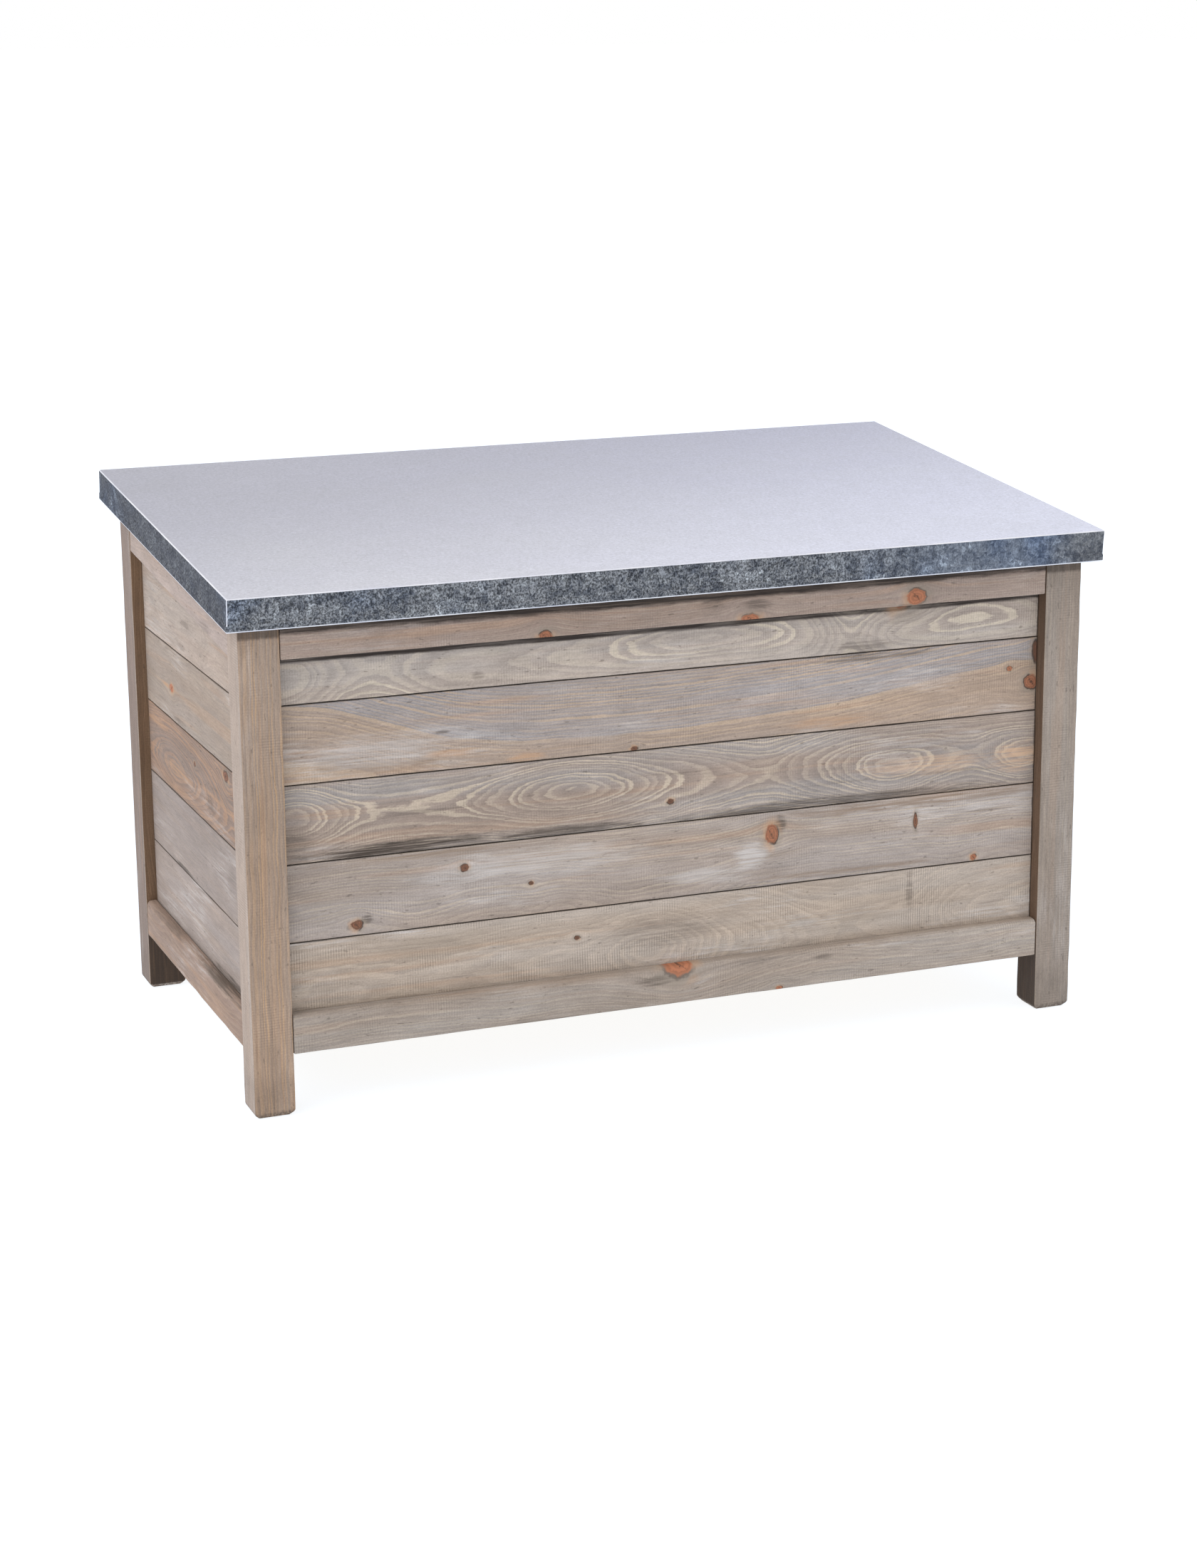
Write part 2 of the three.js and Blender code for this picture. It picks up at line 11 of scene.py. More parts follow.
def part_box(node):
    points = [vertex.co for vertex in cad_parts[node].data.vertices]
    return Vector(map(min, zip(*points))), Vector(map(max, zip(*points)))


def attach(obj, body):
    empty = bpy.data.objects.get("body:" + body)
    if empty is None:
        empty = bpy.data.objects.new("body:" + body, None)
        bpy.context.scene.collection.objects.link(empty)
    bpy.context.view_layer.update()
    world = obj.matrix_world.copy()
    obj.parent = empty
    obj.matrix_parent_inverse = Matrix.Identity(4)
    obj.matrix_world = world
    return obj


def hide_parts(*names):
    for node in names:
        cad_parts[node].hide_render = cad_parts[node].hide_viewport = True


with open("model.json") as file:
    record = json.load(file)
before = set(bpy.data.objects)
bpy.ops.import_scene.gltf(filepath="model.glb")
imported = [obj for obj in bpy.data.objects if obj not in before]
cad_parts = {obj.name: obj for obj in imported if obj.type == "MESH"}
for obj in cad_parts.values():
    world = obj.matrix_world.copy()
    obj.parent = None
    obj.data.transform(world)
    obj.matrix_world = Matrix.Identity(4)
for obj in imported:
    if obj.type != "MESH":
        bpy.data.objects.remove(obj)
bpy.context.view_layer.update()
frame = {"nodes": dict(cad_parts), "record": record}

MM = 0.001

# ---------------- view and light
CAMERA_PLACE = Vector((-1.4387, -3.714, 1.3202))
CAMERA_YAW = math.radians(21.286)  # turned from +Y towards +X
CAMERA_DIP = math.radians(14.435)
CAMERA_ROLL = math.radians(-0.492)
SENSOR = 36.0
LENS = 69.58

SUN_FROM = Vector((-0.66, -0.24, 0.71))
SUN_STRENGTH = 1.0
SUN_ANGLE = math.radians(36)
SUN_COLOR = (1.0, 0.985, 0.96)
SKY = (1.0, 1.0, 1.0)
SKY_STRENGTH = 1.0
FLOOR_SIZE = 400.0
FLOOR_PAINT = (0.24, 0.3, 0.38)
FLOOR_GLOW = 0.845  # the lit studio floor, which lifts the shadow

# ---------------- colours, linear
GREY = (0.375, 0.335, 0.315)
TAUPE = (0.35, 0.272, 0.222)
CREAM = (0.53, 0.45, 0.365)
ORANGE = (0.5, 0.29, 0.16)
PEACH = (0.62, 0.4, 0.25)
PALE = (0.6, 0.565, 0.55)
DARK = (0.085, 0.066, 0.053)
# the dark stain at the feet, and the ground of the painted shade on the legs' inner faces
DARK_STAIN_AND_SHADE = (0.074, 0.049, 0.034)
# dark of the painted shade below the lid's hem, below the front top rail and near the ground, and of the
# dirt at the boards' edges
SHADE_AND_GRIME = (0.035, 0.026, 0.022)
SEAM = (0.06, 0.045, 0.036)
BROWN = (0.23, 0.16, 0.11)
HALO = (0.27, 0.225, 0.18)
KNOT_ORANGE = (0.42, 0.165, 0.088)
KNOT_BROWN = (0.13, 0.066, 0.042)
KNOT_RIM = (0.05, 0.032, 0.025)
NEW_PINE = (0.56, 0.4, 0.24)
NEW_PINE_LATE = (0.43, 0.255, 0.125)
PLY = (0.54, 0.375, 0.22)
PLY_LATE = (0.44, 0.275, 0.145)
# the top's paler front, lifted by a painted sheen, and its back, darkened by painted shade
ZINC_TOP = (0.624, 0.636, 0.716)
ZINC_TOP_SHADED = (0.395, 0.4, 0.475)
ZINC_WARM_CAST = (1.025, 1.012, 0.985)  # left end of the top
ZINC_COOL_CAST = (1.015, 1.022, 1.072)  # right end
ZINC_DARK = (0.064, 0.069, 0.081)
ZINC_MID = (0.185, 0.191, 0.202)
ZINC_LIGHT = (0.42, 0.45, 0.48)
END_SKIRT_SHADE = 0.74  # painted shade: the skirt is darker on the two ends
ZINC_GRAZING = (0.22, 0.23, 0.3, 1.0)  # tint of the sheet seen along its face
ZINC_BLUE = (0.3, 0.45, 0.7)
# bright of the painted highlight on the folds, hem and corners, and of the scratches on the top
ZINC_SCRATCH_AND_HIGHLIGHT = (0.78, 0.78, 0.82)
PLATED = (0.56, 0.565, 0.56)
BLACK = (0.018, 0.018, 0.02)
CHROME = (0.64, 0.65, 0.67)


# ---------------- node helpers
class Net:
    """Adds nodes to a tree. An input is a socket, a number or a tuple."""

    def __init__(self, tree):
        self.tree = tree

    def put(self, kind, *values, **settings):
        """A node with its inputs in order."""
        node = self.tree.nodes.new(kind)
        for key, value in settings.items():
            setattr(node, key, value)
        for socket, value in zip(node.inputs, values):
            self.feed(socket, value)
        return node

    def fill(self, sockets, **values):
        """Feeds sockets by name, with _ for a space."""
        for key, value in values.items():
            self.feed(sockets[key.replace("_", " ")], value)

    def feed(self, socket, value):
        if isinstance(value, bpy.types.NodeSocket):
            self.tree.links.new(value, socket)
        elif value is not None:
            if socket.type == "RGBA" and len(value) == 3:
                value = (*value, 1.0)
            socket.default_value = value

    def math(self, operation, *values, clamp=False):
        return self.put("ShaderNodeMath", *values, operation=operation, use_clamp=clamp).outputs[0]

    def mul(self, a, b):
        return self.math("MULTIPLY", a, b)

    def add(self, a, b, **how):
        return self.math("ADD", a, b, **how)

    def sub(self, a, b):
        return self.math("SUBTRACT", a, b)

    def div(self, a, b):
        return self.math("DIVIDE", a, b)

    def madd(self, a, b, c, **how):
        """a times b, plus c."""
        return self.math("MULTIPLY_ADD", a, b, c, **how)

    def length(self, a, b):
        return self.math("SQRT", self.add(self.mul(a, a), self.mul(b, b)))

    def abs(self, value):
        return self.math("ABSOLUTE", value)

    def vector(self, operation, *values):
        node = self.put("ShaderNodeVectorMath", *values, operation=operation)
        return node.outputs["Value"] if operation == "DOT_PRODUCT" else node.outputs["Vector"]

    def stretch(self, vector, factors):
        return self.vector("MULTIPLY", vector, factors)

    def join(self, x, y, z):
        return self.put("ShaderNodeCombineXYZ", x, y, z).outputs[0]

    def split(self, vector):
        return self.put("ShaderNodeSeparateXYZ", vector).outputs

    def noise(self, vector, scale=1.0, detail=2.0, rough=0.5, warp=0.0):
        node = self.put("ShaderNodeTexNoise", noise_dimensions="3D")
        self.fill(node.inputs, Vector=vector, Scale=scale, Detail=detail, Roughness=rough, Distortion=warp)
        return node.outputs[0]

    def grain(self, vector, factors, detail=2.0, rough=0.5, warp=0.0):
        """Noise stretched by three factors."""
        return self.noise(self.stretch(vector, factors), 1.0, detail, rough, warp)

    def cells(self, vector, scale):
        """Three random numbers for each crystal."""
        node = self.put("ShaderNodeTexVoronoi")
        self.fill(node.inputs, Vector=vector, Scale=scale)
        return self.split(node.outputs["Color"])

    def step(self, value, low, high, to_low=0.0, to_high=1.0):
        return self.put("ShaderNodeMapRange", value, low, high, to_low, to_high,
                        interpolation_type="SMOOTHSTEP").outputs[0]

    def fall(self, value, low, high):
        """A step from 1 down to 0."""
        return self.step(value, low, high, 1.0, 0.0)

    def mix(self, factor, a, b, blend="MIX"):
        node = self.put("ShaderNodeMix", data_type="RGBA", blend_type=blend, clamp_factor=True)
        self.feed(node.inputs["Factor"], factor)
        self.feed(node.inputs[6], a)
        self.feed(node.inputs[7], b)
        return node.outputs[2]

    def shade(self, color, factor):
        """Multiplies a colour by a number."""
        grey = self.join(factor, factor, factor)
        return self.mix(1.0, color, grey, "MULTIPLY")

    def vary(self, color, value, gain, base):
        """Multiplies a colour by value times gain, plus base."""
        return self.shade(color, self.madd(value, gain, base))

    def finish(self, shader, color, rough, height, strength, distance):
        """Feeds a material's shader; height, strength and distance make its relief."""
        relief = self.put("ShaderNodeBump")
        self.fill(relief.inputs, Strength=strength, Distance=distance, Height=height)
        self.fill(shader, Base_Color=color, Roughness=rough, Normal=relief.outputs[0])

    def place(self):
        return self.put("ShaderNodeTexCoord").outputs["Object"]


SOCKET_KINDS = {"f": "NodeSocketFloat", "v": "NodeSocketVector", "c": "NodeSocketColor"}


def new_group(name, takes, gives):
    """A node group. takes and gives hold the names of its sockets, by kind."""
    tree = bpy.data.node_groups.new(name, "ShaderNodeTree")
    for way, sockets in (("INPUT", takes), ("OUTPUT", gives)):
        for kind, labels in sockets.items():
            for label in labels.split(", "):
                tree.interface.new_socket(name=label, in_out=way, socket_type=SOCKET_KINDS[kind])
    net = Net(tree)
    source = net.put("NodeGroupInput").outputs
    sink = net.put("NodeGroupOutput").inputs
    return tree, net, source, sink


def new_material(name, metallic=0.0, **fixed):
    """A material with its shader; fixed are the shader's uniform values."""
    material = bpy.data.materials.new(name)
    material.use_nodes = True
    tree = material.node_tree
    shader = tree.nodes["Principled BSDF"]
    shader.inputs["Metallic"].default_value = metallic
    for key, value in fixed.items():
        shader.inputs[key].default_value = value
    return material, Net(tree), shader.inputs


# ---------------- wood
# Board coordinates are (along the grain, across the face, into the board), in metres from the
# board's middle. Growth rings are tubes about a pith line, cut by the board's faces.
RIPPLE = 4.8 * MM  # how far the rings sway
RAGGED = 1.0 * MM  # how rough their edges are
SAW_PITCH = 3.4 * MM
GRIME_AND_SHADE_REACH = 3.6 * MM  # how far the dirt and painted shade reach from a board's edges


def make_bend():
    """Moves the pith line near one place along the board."""
    tree, net, source, sink = new_group(
        "pith_bend",
        dict(v="Vector", f="Across, Depth, Along, Length, Add across, Add depth"),
        dict(f="Across, Depth"),
    )
    u = net.split(source["Vector"])[0]
    far = net.div(net.sub(u, source["Along"]), source["Length"])
    weight = net.math("EXPONENT", net.mul(net.mul(far, far), -1.0))
    net.fill(sink, Across=net.madd(weight, source["Add across"], source["Across"]),
             Depth=net.madd(weight, source["Add depth"], source["Depth"]))
    return tree


def make_rings():
    """Growth rings: the dark late wood, the early wood, and whether a point is heartwood."""
    tree, net, source, sink = new_group(
        "growth_rings",
        dict(v="Vector", f="Seed, Pith across, Pith depth, Wander, Spacing, Heart"),
        dict(f="Late, Early, Heart", v="Loose"),
    )
    seed = source["Seed"]
    offset = net.join(seed, net.mul(seed, 3.1), net.mul(seed, 1.7))
    loose = net.vector("ADD", source["Vector"], offset)
    _, v, w = net.split(source["Vector"])
    slow = net.stretch(loose, (5.5, 0.6, 0.6))
    roam = net.sub(net.noise(slow, 1.0, 1.5), 0.5)
    depth = net.madd(roam, source["Wander"], source["Pith depth"])
    other = net.vector("ADD", slow, (7.3, 2.1, 4.4))
    roam_across = net.sub(net.noise(other, 1.0, 1.0), 0.5)
    across = net.madd(roam_across, net.mul(source["Wander"], 0.5), source["Pith across"])
    dv = net.sub(v, across)
    dw = net.sub(w, depth)
    radius = net.length(dv, dw)
    heart = net.fall(net.sub(radius, source["Heart"]), -0.006, 0.002)
    ripple = net.grain(loose, (17.0, 62.0, 62.0), 2.0)
    ragged = net.grain(loose, (90.0, 420.0, 420.0), 2.0)
    radius = net.madd(ripple, RIPPLE, radius)
    radius = net.madd(ragged, RAGGED, radius)
    years = net.div(radius, source["Spacing"])
    drift = net.noise(net.join(net.mul(years, 0.45), seed, 0.0), 1.0, 1.0)
    years = net.madd(drift, 2.2, years)
    part = net.math("FRACT", years)
    rise = net.step(part, 0.46, 0.66)
    fall = net.fall(part, 0.92, 1.0)
    strength = net.noise(net.join(net.math("FLOOR", years), seed, 3.0), 0.73, 0.0)
    strength = net.step(strength, 0.3, 0.7, 0.3, 1.0)
    fading = net.grain(loose, (7.0, 24.0, 24.0), 2.0)
    strength = net.mul(strength, net.step(fading, 0.3, 0.6, 0.35, 1.0))
    late = net.mul(net.mul(rise, fall), strength)
    net.fill(sink, Late=late, Early=net.fall(part, 0.0, 0.45), Heart=heart, Loose=loose)
    return tree


def make_finish():
    """The board's face: rings, grey wash, streaks, pits, fibre, saw marks, clouds, and dirt with painted
    shade along its edges and ends.
    """
    tree, net, source, sink = new_group(
        "washed_finish",
        dict(v="Vector, Loose", f="Late, Early, Heart, Heart share, Contrast, Wash, Warm, Saw, "
             "Half length, Half width, Grime", c="Ground, Second, Line"),
        dict(c="Color", f="Height, Roughness"),
    )
    loose = source["Loose"]
    u, v, _ = net.split(source["Vector"])

    def streaks(scale, low, high, detail=3.0, shift=0.0):
        moved = net.vector("ADD", loose, (shift, shift, shift))
        field = net.noise(net.stretch(moved, scale), 1.0, detail, 0.55)
        return net.step(field, low, high)

    tone = streaks((1.9, 21.0, 21.0), 0.36, 0.64)
    share = net.mul(net.sub(source["Heart"], tone), source["Heart share"])
    color = net.mix(net.add(tone, share, clamp=True), source["Ground"], source["Second"])
    warm = net.mul(streaks((2.2, 62.0, 62.0), 0.54, 0.7, 2.0, 5.0), source["Warm"])
    color = net.mix(warm, color, ORANGE)
    early = net.mul(source["Early"], source["Contrast"])
    color = net.vary(color, early, -0.15, 1.0)
    color = net.mix(net.mul(source["Late"], source["Contrast"]), color, source["Line"])

    # worn white, minerals and pits
    broad = streaks((4.5, 15.0, 15.0), 0.5, 0.68, 3.0, 21.0)
    brushed = streaks((16.0, 260.0, 260.0), 0.4, 0.66, 4.0, 23.0)
    worn = net.mul(net.mul(broad, brushed), source["Wash"])
    color = net.mix(worn, color, PALE)
    mineral = net.mul(streaks((4.0, 95.0, 95.0), 0.64, 0.76, 3.0, 13.0), 0.34)
    color = net.mix(mineral, color, DARK)
    pits = net.mul(streaks((85.0, 260.0, 260.0), 0.68, 0.78, 1.0, 3.0), 0.42)
    color = net.mix(pits, color, DARK)

    # fibre, saw marks and clouds
    fibre = net.grain(loose, (26.0, 430.0, 430.0), 3.0, 0.65)
    grit = net.grain(loose, (420.0, 520.0, 520.0), 3.0, 0.7)
    grain = net.add(net.mul(fibre, 0.56), net.mul(grit, 0.62))
    color = net.shade(color, net.add(grain, 0.41))
    sway = net.grain(loose, (5.0, 5.0, 5.0), 2.0)
    travel = net.madd(sway, 0.012, u)
    beat = net.math("SINE", net.mul(travel, 2 * math.pi / SAW_PITCH))
    patch = net.grain(loose, (13.0, 24.0, 24.0), 3.0, 0.6)
    saw = net.mul(net.mul(beat, net.step(patch, 0.44, 0.7)), source["Saw"])
    color = net.vary(color, saw, 0.095, 1.0)
    cloud = net.grain(loose, (2.6, 8.0, 8.0), 3.0, 0.5)
    color = net.vary(color, cloud, 0.42, 0.79)
    mottle = net.grain(loose, (22.0, 60.0, 60.0), 4.0, 0.6)
    color = net.vary(color, mottle, 0.44, 0.78)

    # dirt and painted shade along the edges and ends, where the boards meet each other and the legs
    to_edge = net.sub(source["Half width"], net.abs(v))
    to_end = net.sub(source["Half length"], net.abs(u))
    near = net.math("MINIMUM", to_edge, net.mul(to_end, 0.55))
    reach = net.madd(mottle, GRIME_AND_SHADE_REACH, -0.0006)
    grime = net.fall(net.div(near, reach), 0.35, 1.0)
    color = net.mix(net.mul(grime, source["Grime"]), color, SHADE_AND_GRIME)

    height = net.madd(source["Late"], 0.45, net.mul(fibre, 0.55))
    height = net.madd(grit, 0.3, height)
    height = net.add(height, net.madd(saw, 0.16, net.mul(pits, -0.8)))
    net.fill(sink, Color=color, Height=height, Roughness=net.madd(fibre, 0.2, 0.68))
    return tree


def make_stain():
    """A streaky patch of another colour."""
    tree, net, source, sink = new_group(
        "streaky_stain",
        dict(v="Vector", c="Color, Tint", f="Along, Across, Length, Height, Strength, Even"),
        dict(c="Color"),
    )
    u, v, _ = net.split(source["Vector"])
    du = net.div(net.sub(u, source["Along"]), source["Length"])
    dv = net.div(net.sub(v, source["Across"]), source["Height"])
    far = net.length(du, dv)
    rough = net.grain(source["Vector"], (28.0, 150.0, 150.0), 4.0, 0.65)
    ragged = net.madd(source["Even"], -1.1, 1.4)
    far = net.madd(net.sub(rough, 0.5), ragged, far)
    streak = net.grain(source["Vector"], (11.0, 330.0, 330.0), 3.0, 0.6)
    broken = net.step(streak, 0.32, 0.6, source["Even"], 1.0)
    soft = net.madd(source["Even"], 0.55, 0.27)
    mask = net.mul(net.fall(far, soft, 1.1), broken)
    mask = net.mul(mask, source["Strength"])
    net.fill(sink, Color=net.mix(mask, source["Color"], source["Tint"]))
    return tree


def make_knot_flow():
    """Spreads the rings round a knot."""
    tree, net, source, sink = new_group(
        "knot_flow",
        dict(v="Vector", f="Along, Across, Size"),
        dict(v="Vector"),
    )
    u, v, w = net.split(source["Vector"])
    reach = net.mul(source["Size"], 3.0)
    du = net.div(net.sub(u, source["Along"]), reach)
    dv = net.sub(v, source["Across"])
    far = net.div(dv, net.mul(source["Size"], 2.2))
    square = net.add(net.mul(du, du), net.mul(far, far))
    pull = net.mul(net.math("EXPONENT", net.mul(square, -1.0)), -0.92)
    net.fill(sink, Vector=net.join(u, net.madd(dv, pull, v), w))
    return tree


def make_knot_face():
    """A knot: a halo and a dark rim on one side, rings, a darker heart and a drying check."""
    tree, net, source, sink = new_group(
        "knot_face",
        dict(v="Vector", c="Color", f="Height, Along, Across, Size, Stretch, Dark"),
        dict(c="Color", f="Height"),
    )
    u, v, _ = net.split(source["Vector"])
    tall = net.mul(source["Size"], source["Stretch"])
    du = net.div(net.sub(u, source["Along"]), source["Size"])
    dv = net.div(net.sub(v, source["Across"]), tall)
    flat = net.join(du, dv, net.mul(source["Along"], 40.0))
    lump = net.grain(flat, (0.75, 0.75, 1.0), 1.0)
    bits = net.noise(flat, 3.2, 3.0, 0.65)
    turned = net.vector("ADD", net.stretch(flat, (0.55, 0.55, 1.0)), (9.0, 4.0, 2.0))
    side = net.noise(turned, 1.0, 1.0)
    distance = net.madd(net.sub(lump, 0.5), 0.8, net.length(du, dv))
    distance = net.madd(net.sub(bits, 0.5), 0.4, distance)
    halo = net.step(side, 0.38, 0.6, 0.0, 0.62)
    halo = net.mul(net.fall(distance, 0.8, 2.4), halo)
    color = net.mix(halo, source["Color"], HALO)
    glow = net.step(side, 0.4, 0.58, 0.55, 0.0)
    glow = net.mul(net.fall(distance, 0.8, 2.0), glow)
    color = net.mix(glow, color, ORANGE)
    rim = net.step(side, 0.42, 0.6, 0.1, 0.92)
    rim = net.mul(net.fall(distance, 0.98, 1.22), rim)
    rim = net.mul(rim, net.step(source["Dark"], -0.2, 0.35, 0.25, 1.0))
    color = net.mix(rim, color, KNOT_RIM)
    rings = net.math("SINE", net.mul(distance, 20.0))
    darkness = net.madd(rings, 0.2, source["Dark"])
    darkness = net.add(darkness, net.step(distance, 0.0, 0.4, 0.3, 0.0))
    darkness = net.add(darkness, net.step(distance, 0.6, 1.0, 0.0, 0.22))
    darkness = net.madd(bits, 0.6, net.sub(darkness, 0.25), clamp=True)
    core = net.mix(darkness, KNOT_ORANGE, KNOT_BROWN)
    color = net.mix(net.fall(distance, 0.78, 1.02), color, core)
    slant = net.madd(dv, 0.8, du)
    bent = net.madd(net.sub(bits, 0.5), 1.3, slant)
    check = net.fall(net.abs(bent), 0.02, 0.11)
    check = net.mul(check, net.step(distance, 0.4, 0.8, 0.65, 0.0))
    color = net.mix(check, color, KNOT_RIM)
    inside = net.fall(distance, 0.85, 1.1)
    height = net.madd(inside, 0.35, source["Height"])
    net.fill(sink, Color=color, Height=net.madd(check, -0.9, height))
    return tree


BEND = make_bend()
RINGS = make_rings()
FINISH = make_finish()
STAIN = make_stain()
KNOT_FLOW = make_knot_flow()
KNOT_FACE = make_knot_face()

EVEN_STAINS = {SHADE_AND_GRIME: 0.75, SEAM: 0.25}  # how little marks in these colours, the painted shade and the seam streaks, break into streaks
STREAKY = 0.15  # the same for all other stains

WOOD_GLOSS = 0.28  # specular level of dry wood
WOOD_RELIEF = 0.7 * MM  # depth of the grain's relief
HEART_SHARE = 0.75  # how much the heartwood decides a board's tone
WIDE = 9.0  # more than any board

WASHED = dict(ground=GREY, second=TAUPE, line=CREAM, wash=0.36, warm=0.35, saw=1.0)
BARE = dict(ground=NEW_PINE, second=NEW_PINE, line=NEW_PINE_LATE, wash=0.0, warm=0.12, saw=0.4)
PLYWOOD = dict(ground=PLY, second=NEW_PINE, line=PLY_LATE, wash=0.0, warm=0.1, saw=0.0)


def add_group(net, tree, **values):
    node = net.put("ShaderNodeGroup", node_tree=tree)
    for key, value in values.items():
        net.feed(node.inputs[key.replace("_", " ").capitalize()], value)
    return node.outputs


def wood(name, middle, grain, across, inward, seed, pith=(0.0, 0.05), bends=(), wander=0.03, spacing=0.0034,
         contrast=0.7, heart=0.0, knots=(), stains=(), half=(WIDE, WIDE), grime=0.0, base=WASHED, bump=0.6,
         tint=(1.0, 1.0, 1.0), **changes):
    """A board's material, in metres in board coordinates. pith is (across, depth); a bend is (along,
    length, added across, added depth); heart is the heartwood's radius; a knot is (along, across, size,
    stretch, darkness); a stain is (along, across, length, height, strength, tint), and the stains in the
    darkest colour, below the lid's hem, below the front top rail and near the ground, are painted shade;
    half is half the board's length and width, for the dirt and painted shade at its edges; tint multiplies
    the board's three tones."""
    tone = {**base, **changes}
    tinted = {key: tuple(c * t for c, t in zip(tone[key], tint)) for key in ("ground", "second", "line")}
    material, net, shader = new_material(name, 0.0, **{"Specular IOR Level": WOOD_GLOSS})
    local = net.vector("SUBTRACT", net.place(), tuple(middle))
    board = net.join(*(net.vector("DOT_PRODUCT", local, axis) for axis in (grain, across, inward)))
    flow = board
    for along, up, size, *_ in knots:
        flow = add_group(net, KNOT_FLOW, vector=flow, along=along, across=up, size=size)["Vector"]
    pith_across, pith_depth = pith
    for along, length, more_across, more_depth in bends:
        bent = add_group(net, BEND, vector=board, across=pith_across, depth=pith_depth, along=along,
                         length=length, add_across=more_across, add_depth=more_depth)
        pith_across, pith_depth = bent["Across"], bent["Depth"]
    rings = add_group(net, RINGS, vector=flow, seed=seed, pith_across=pith_across, pith_depth=pith_depth,
                      wander=wander, spacing=spacing, heart=heart)
    look = add_group(net, FINISH, vector=board, loose=rings["Loose"], late=rings["Late"],
                     early=rings["Early"], heart=rings["Heart"], heart_share=HEART_SHARE if heart else 0.0,
                     contrast=contrast, wash=tone["wash"], warm=tone["warm"], saw=tone["saw"],
                     half_length=half[0], half_width=half[1], grime=grime, **tinted)
    color, height = look["Color"], look["Height"]
    for along, up, length, tall, strength, dye in stains:
        stain = add_group(net, STAIN, vector=board, color=color, along=along, across=up, length=length,
                          height=tall, strength=strength, even=EVEN_STAINS.get(dye, STREAKY), tint=dye)
        color = stain["Color"]
    for along, up, size, stretch, dark in knots:
        face = add_group(net, KNOT_FACE, vector=board, color=color, height=height, along=along, across=up,
                         size=size, stretch=stretch, dark=dark)
        color, height = face["Color"], face["Height"]
    net.finish(shader, color, look["Roughness"], height, bump, WOOD_RELIEF)
    return material


def shaded_inner_wood(*place, **changes):
    """Dark brown wood for the legs' inner faces, which face the space under the bench: painted shade."""
    return wood(*place, pith=(0.08, 0.05), contrast=0.35, wash=0.0, warm=0.0, saw=0.6,
                ground=DARK_STAIN_AND_SHADE, second=(0.12, 0.079, 0.053), line=(0.165, 0.112, 0.08), **changes)


# ---------------- timber meshes
X, Y, Z = Vector((1, 0, 0)), Vector((0, 1, 0)), Vector((0, 0, 1))
CUT_STEP = 0.03  # length between two rings of vertices on a timber
SHARP = math.radians(25)  # a timber's edges above this angle are eased
SMOOTH = math.radians(40)  # edges up to this angle are shaded smooth
BITES = 26.0  # nibbles per metre of edge, about
FACING = 0.75  # least cosine between a face and the side it belongs to


def add_object(name, data):
    item = bpy.data.objects.new(name, data)
    bpy.context.scene.collection.objects.link(item)
    return item


def take_mesh(node):
    """The CAD node's solid as a bmesh with whole flat faces."""
    work = bmesh.new()
    work.from_mesh(frame["nodes"][node].data)
    bmesh.ops.remove_doubles(work, verts=work.verts, dist=1e-6)
    bmesh.ops.dissolve_limit(work, angle_limit=math.radians(0.5), verts=work.verts, edges=work.edges)
    return work


def ease_edges(work, radius, segments=3):
    sharp = [e for e in work.edges if e.is_manifold and e.calc_face_angle(0.0) > SHARP]
    bmesh.ops.bevel(work, geom=sharp, offset=radius, segments=segments, profile=0.5, affect="EDGES",
                    clamp_overlap=True)


def slice_along(work, axis, step):
    spots = [v.co.dot(axis) for v in work.verts]
    low, high = min(spots), max(spots)
    count = max(1, round((high - low) / step))
    for i in range(1, count):
        geometry = work.verts[:] + work.edges[:] + work.faces[:]
        bmesh.ops.bisect_plane(work, geom=geometry, plane_co=axis * (low + (high - low) * i / count),
                               plane_no=axis, dist=1e-6)


def wear(work, axis, depth, seed):
    """Nibbles the long edges: vertices move towards the timber's middle line, most at its corners."""
    spots = [v.co - axis * v.co.dot(axis) for v in work.verts]
    low = Vector([min(s[i] for s in spots) for i in range(3)])
    high = Vector([max(s[i] for s in spots) for i in range(3)])
    centre = (low + high) / 2
    for vert, spot in zip(work.verts, spots):
        away = spot - centre
        at = Vector((vert.co.dot(axis) * BITES, seed * 5.3, away.x * 30.0 + away.y * 31.0 + away.z * 29.0))
        bite = 0.5 + 0.5 * noise.noise(at) + 0.25 * noise.noise(at * 4.1)
        for i in range(3):
            if axis[i] == 0:
                vert.co[i] -= math.copysign(min(abs(away[i]), depth * max(0.0, bite)), away[i])


def finish_mesh(work, name, materials):
    bmesh.ops.recalc_face_normals(work, faces=work.faces)
    mesh = bpy.data.meshes.new(name)
    work.to_mesh(mesh)
    work.free()
    for polygon in mesh.polygons:
        polygon.use_smooth = True
    mesh.set_sharp_from_angle(angle=SMOOTH)
    for material in materials:
        mesh.materials.append(material)
    piece = add_object(name, mesh)
    weighted = piece.modifiers.new("weighted_normals", "WEIGHTED_NORMAL")
    weighted.keep_sharp = True
    return piece


def body_of_node(node):
    for body, nodes in frame["record"]["behaviour"]["bodies"].items():
        if node in nodes:
            return body
    return None


def settle(piece, node):
    """The piece stands for the CAD node and moves as it does."""
    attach(piece, body_of_node(node))
    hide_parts(node)


def span_of(node):
    return [Vector(corner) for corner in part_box(node)]


def middle_of(node):
    low, high = span_of(node)
    return (low + high) / 2


def timber(node, axis, materials, seed, radius=1.6 * MM, depth=0.5 * MM, sides=()):
    """A worn copy of a CAD timber. sides are (outward direction, material's place in the list)."""
    work = take_mesh(node)
    ease_edges(work, radius)
    slice_along(work, axis, CUT_STEP)
    wear(work, axis, depth, seed)
    work.normal_update()
    for face in work.faces:
        for way, index in sides:
            if face.normal.dot(way) > FACING:
                face.material_index = index
    piece = finish_mesh(work, node + "_timber", materials)
    settle(piece, node)
    return piece


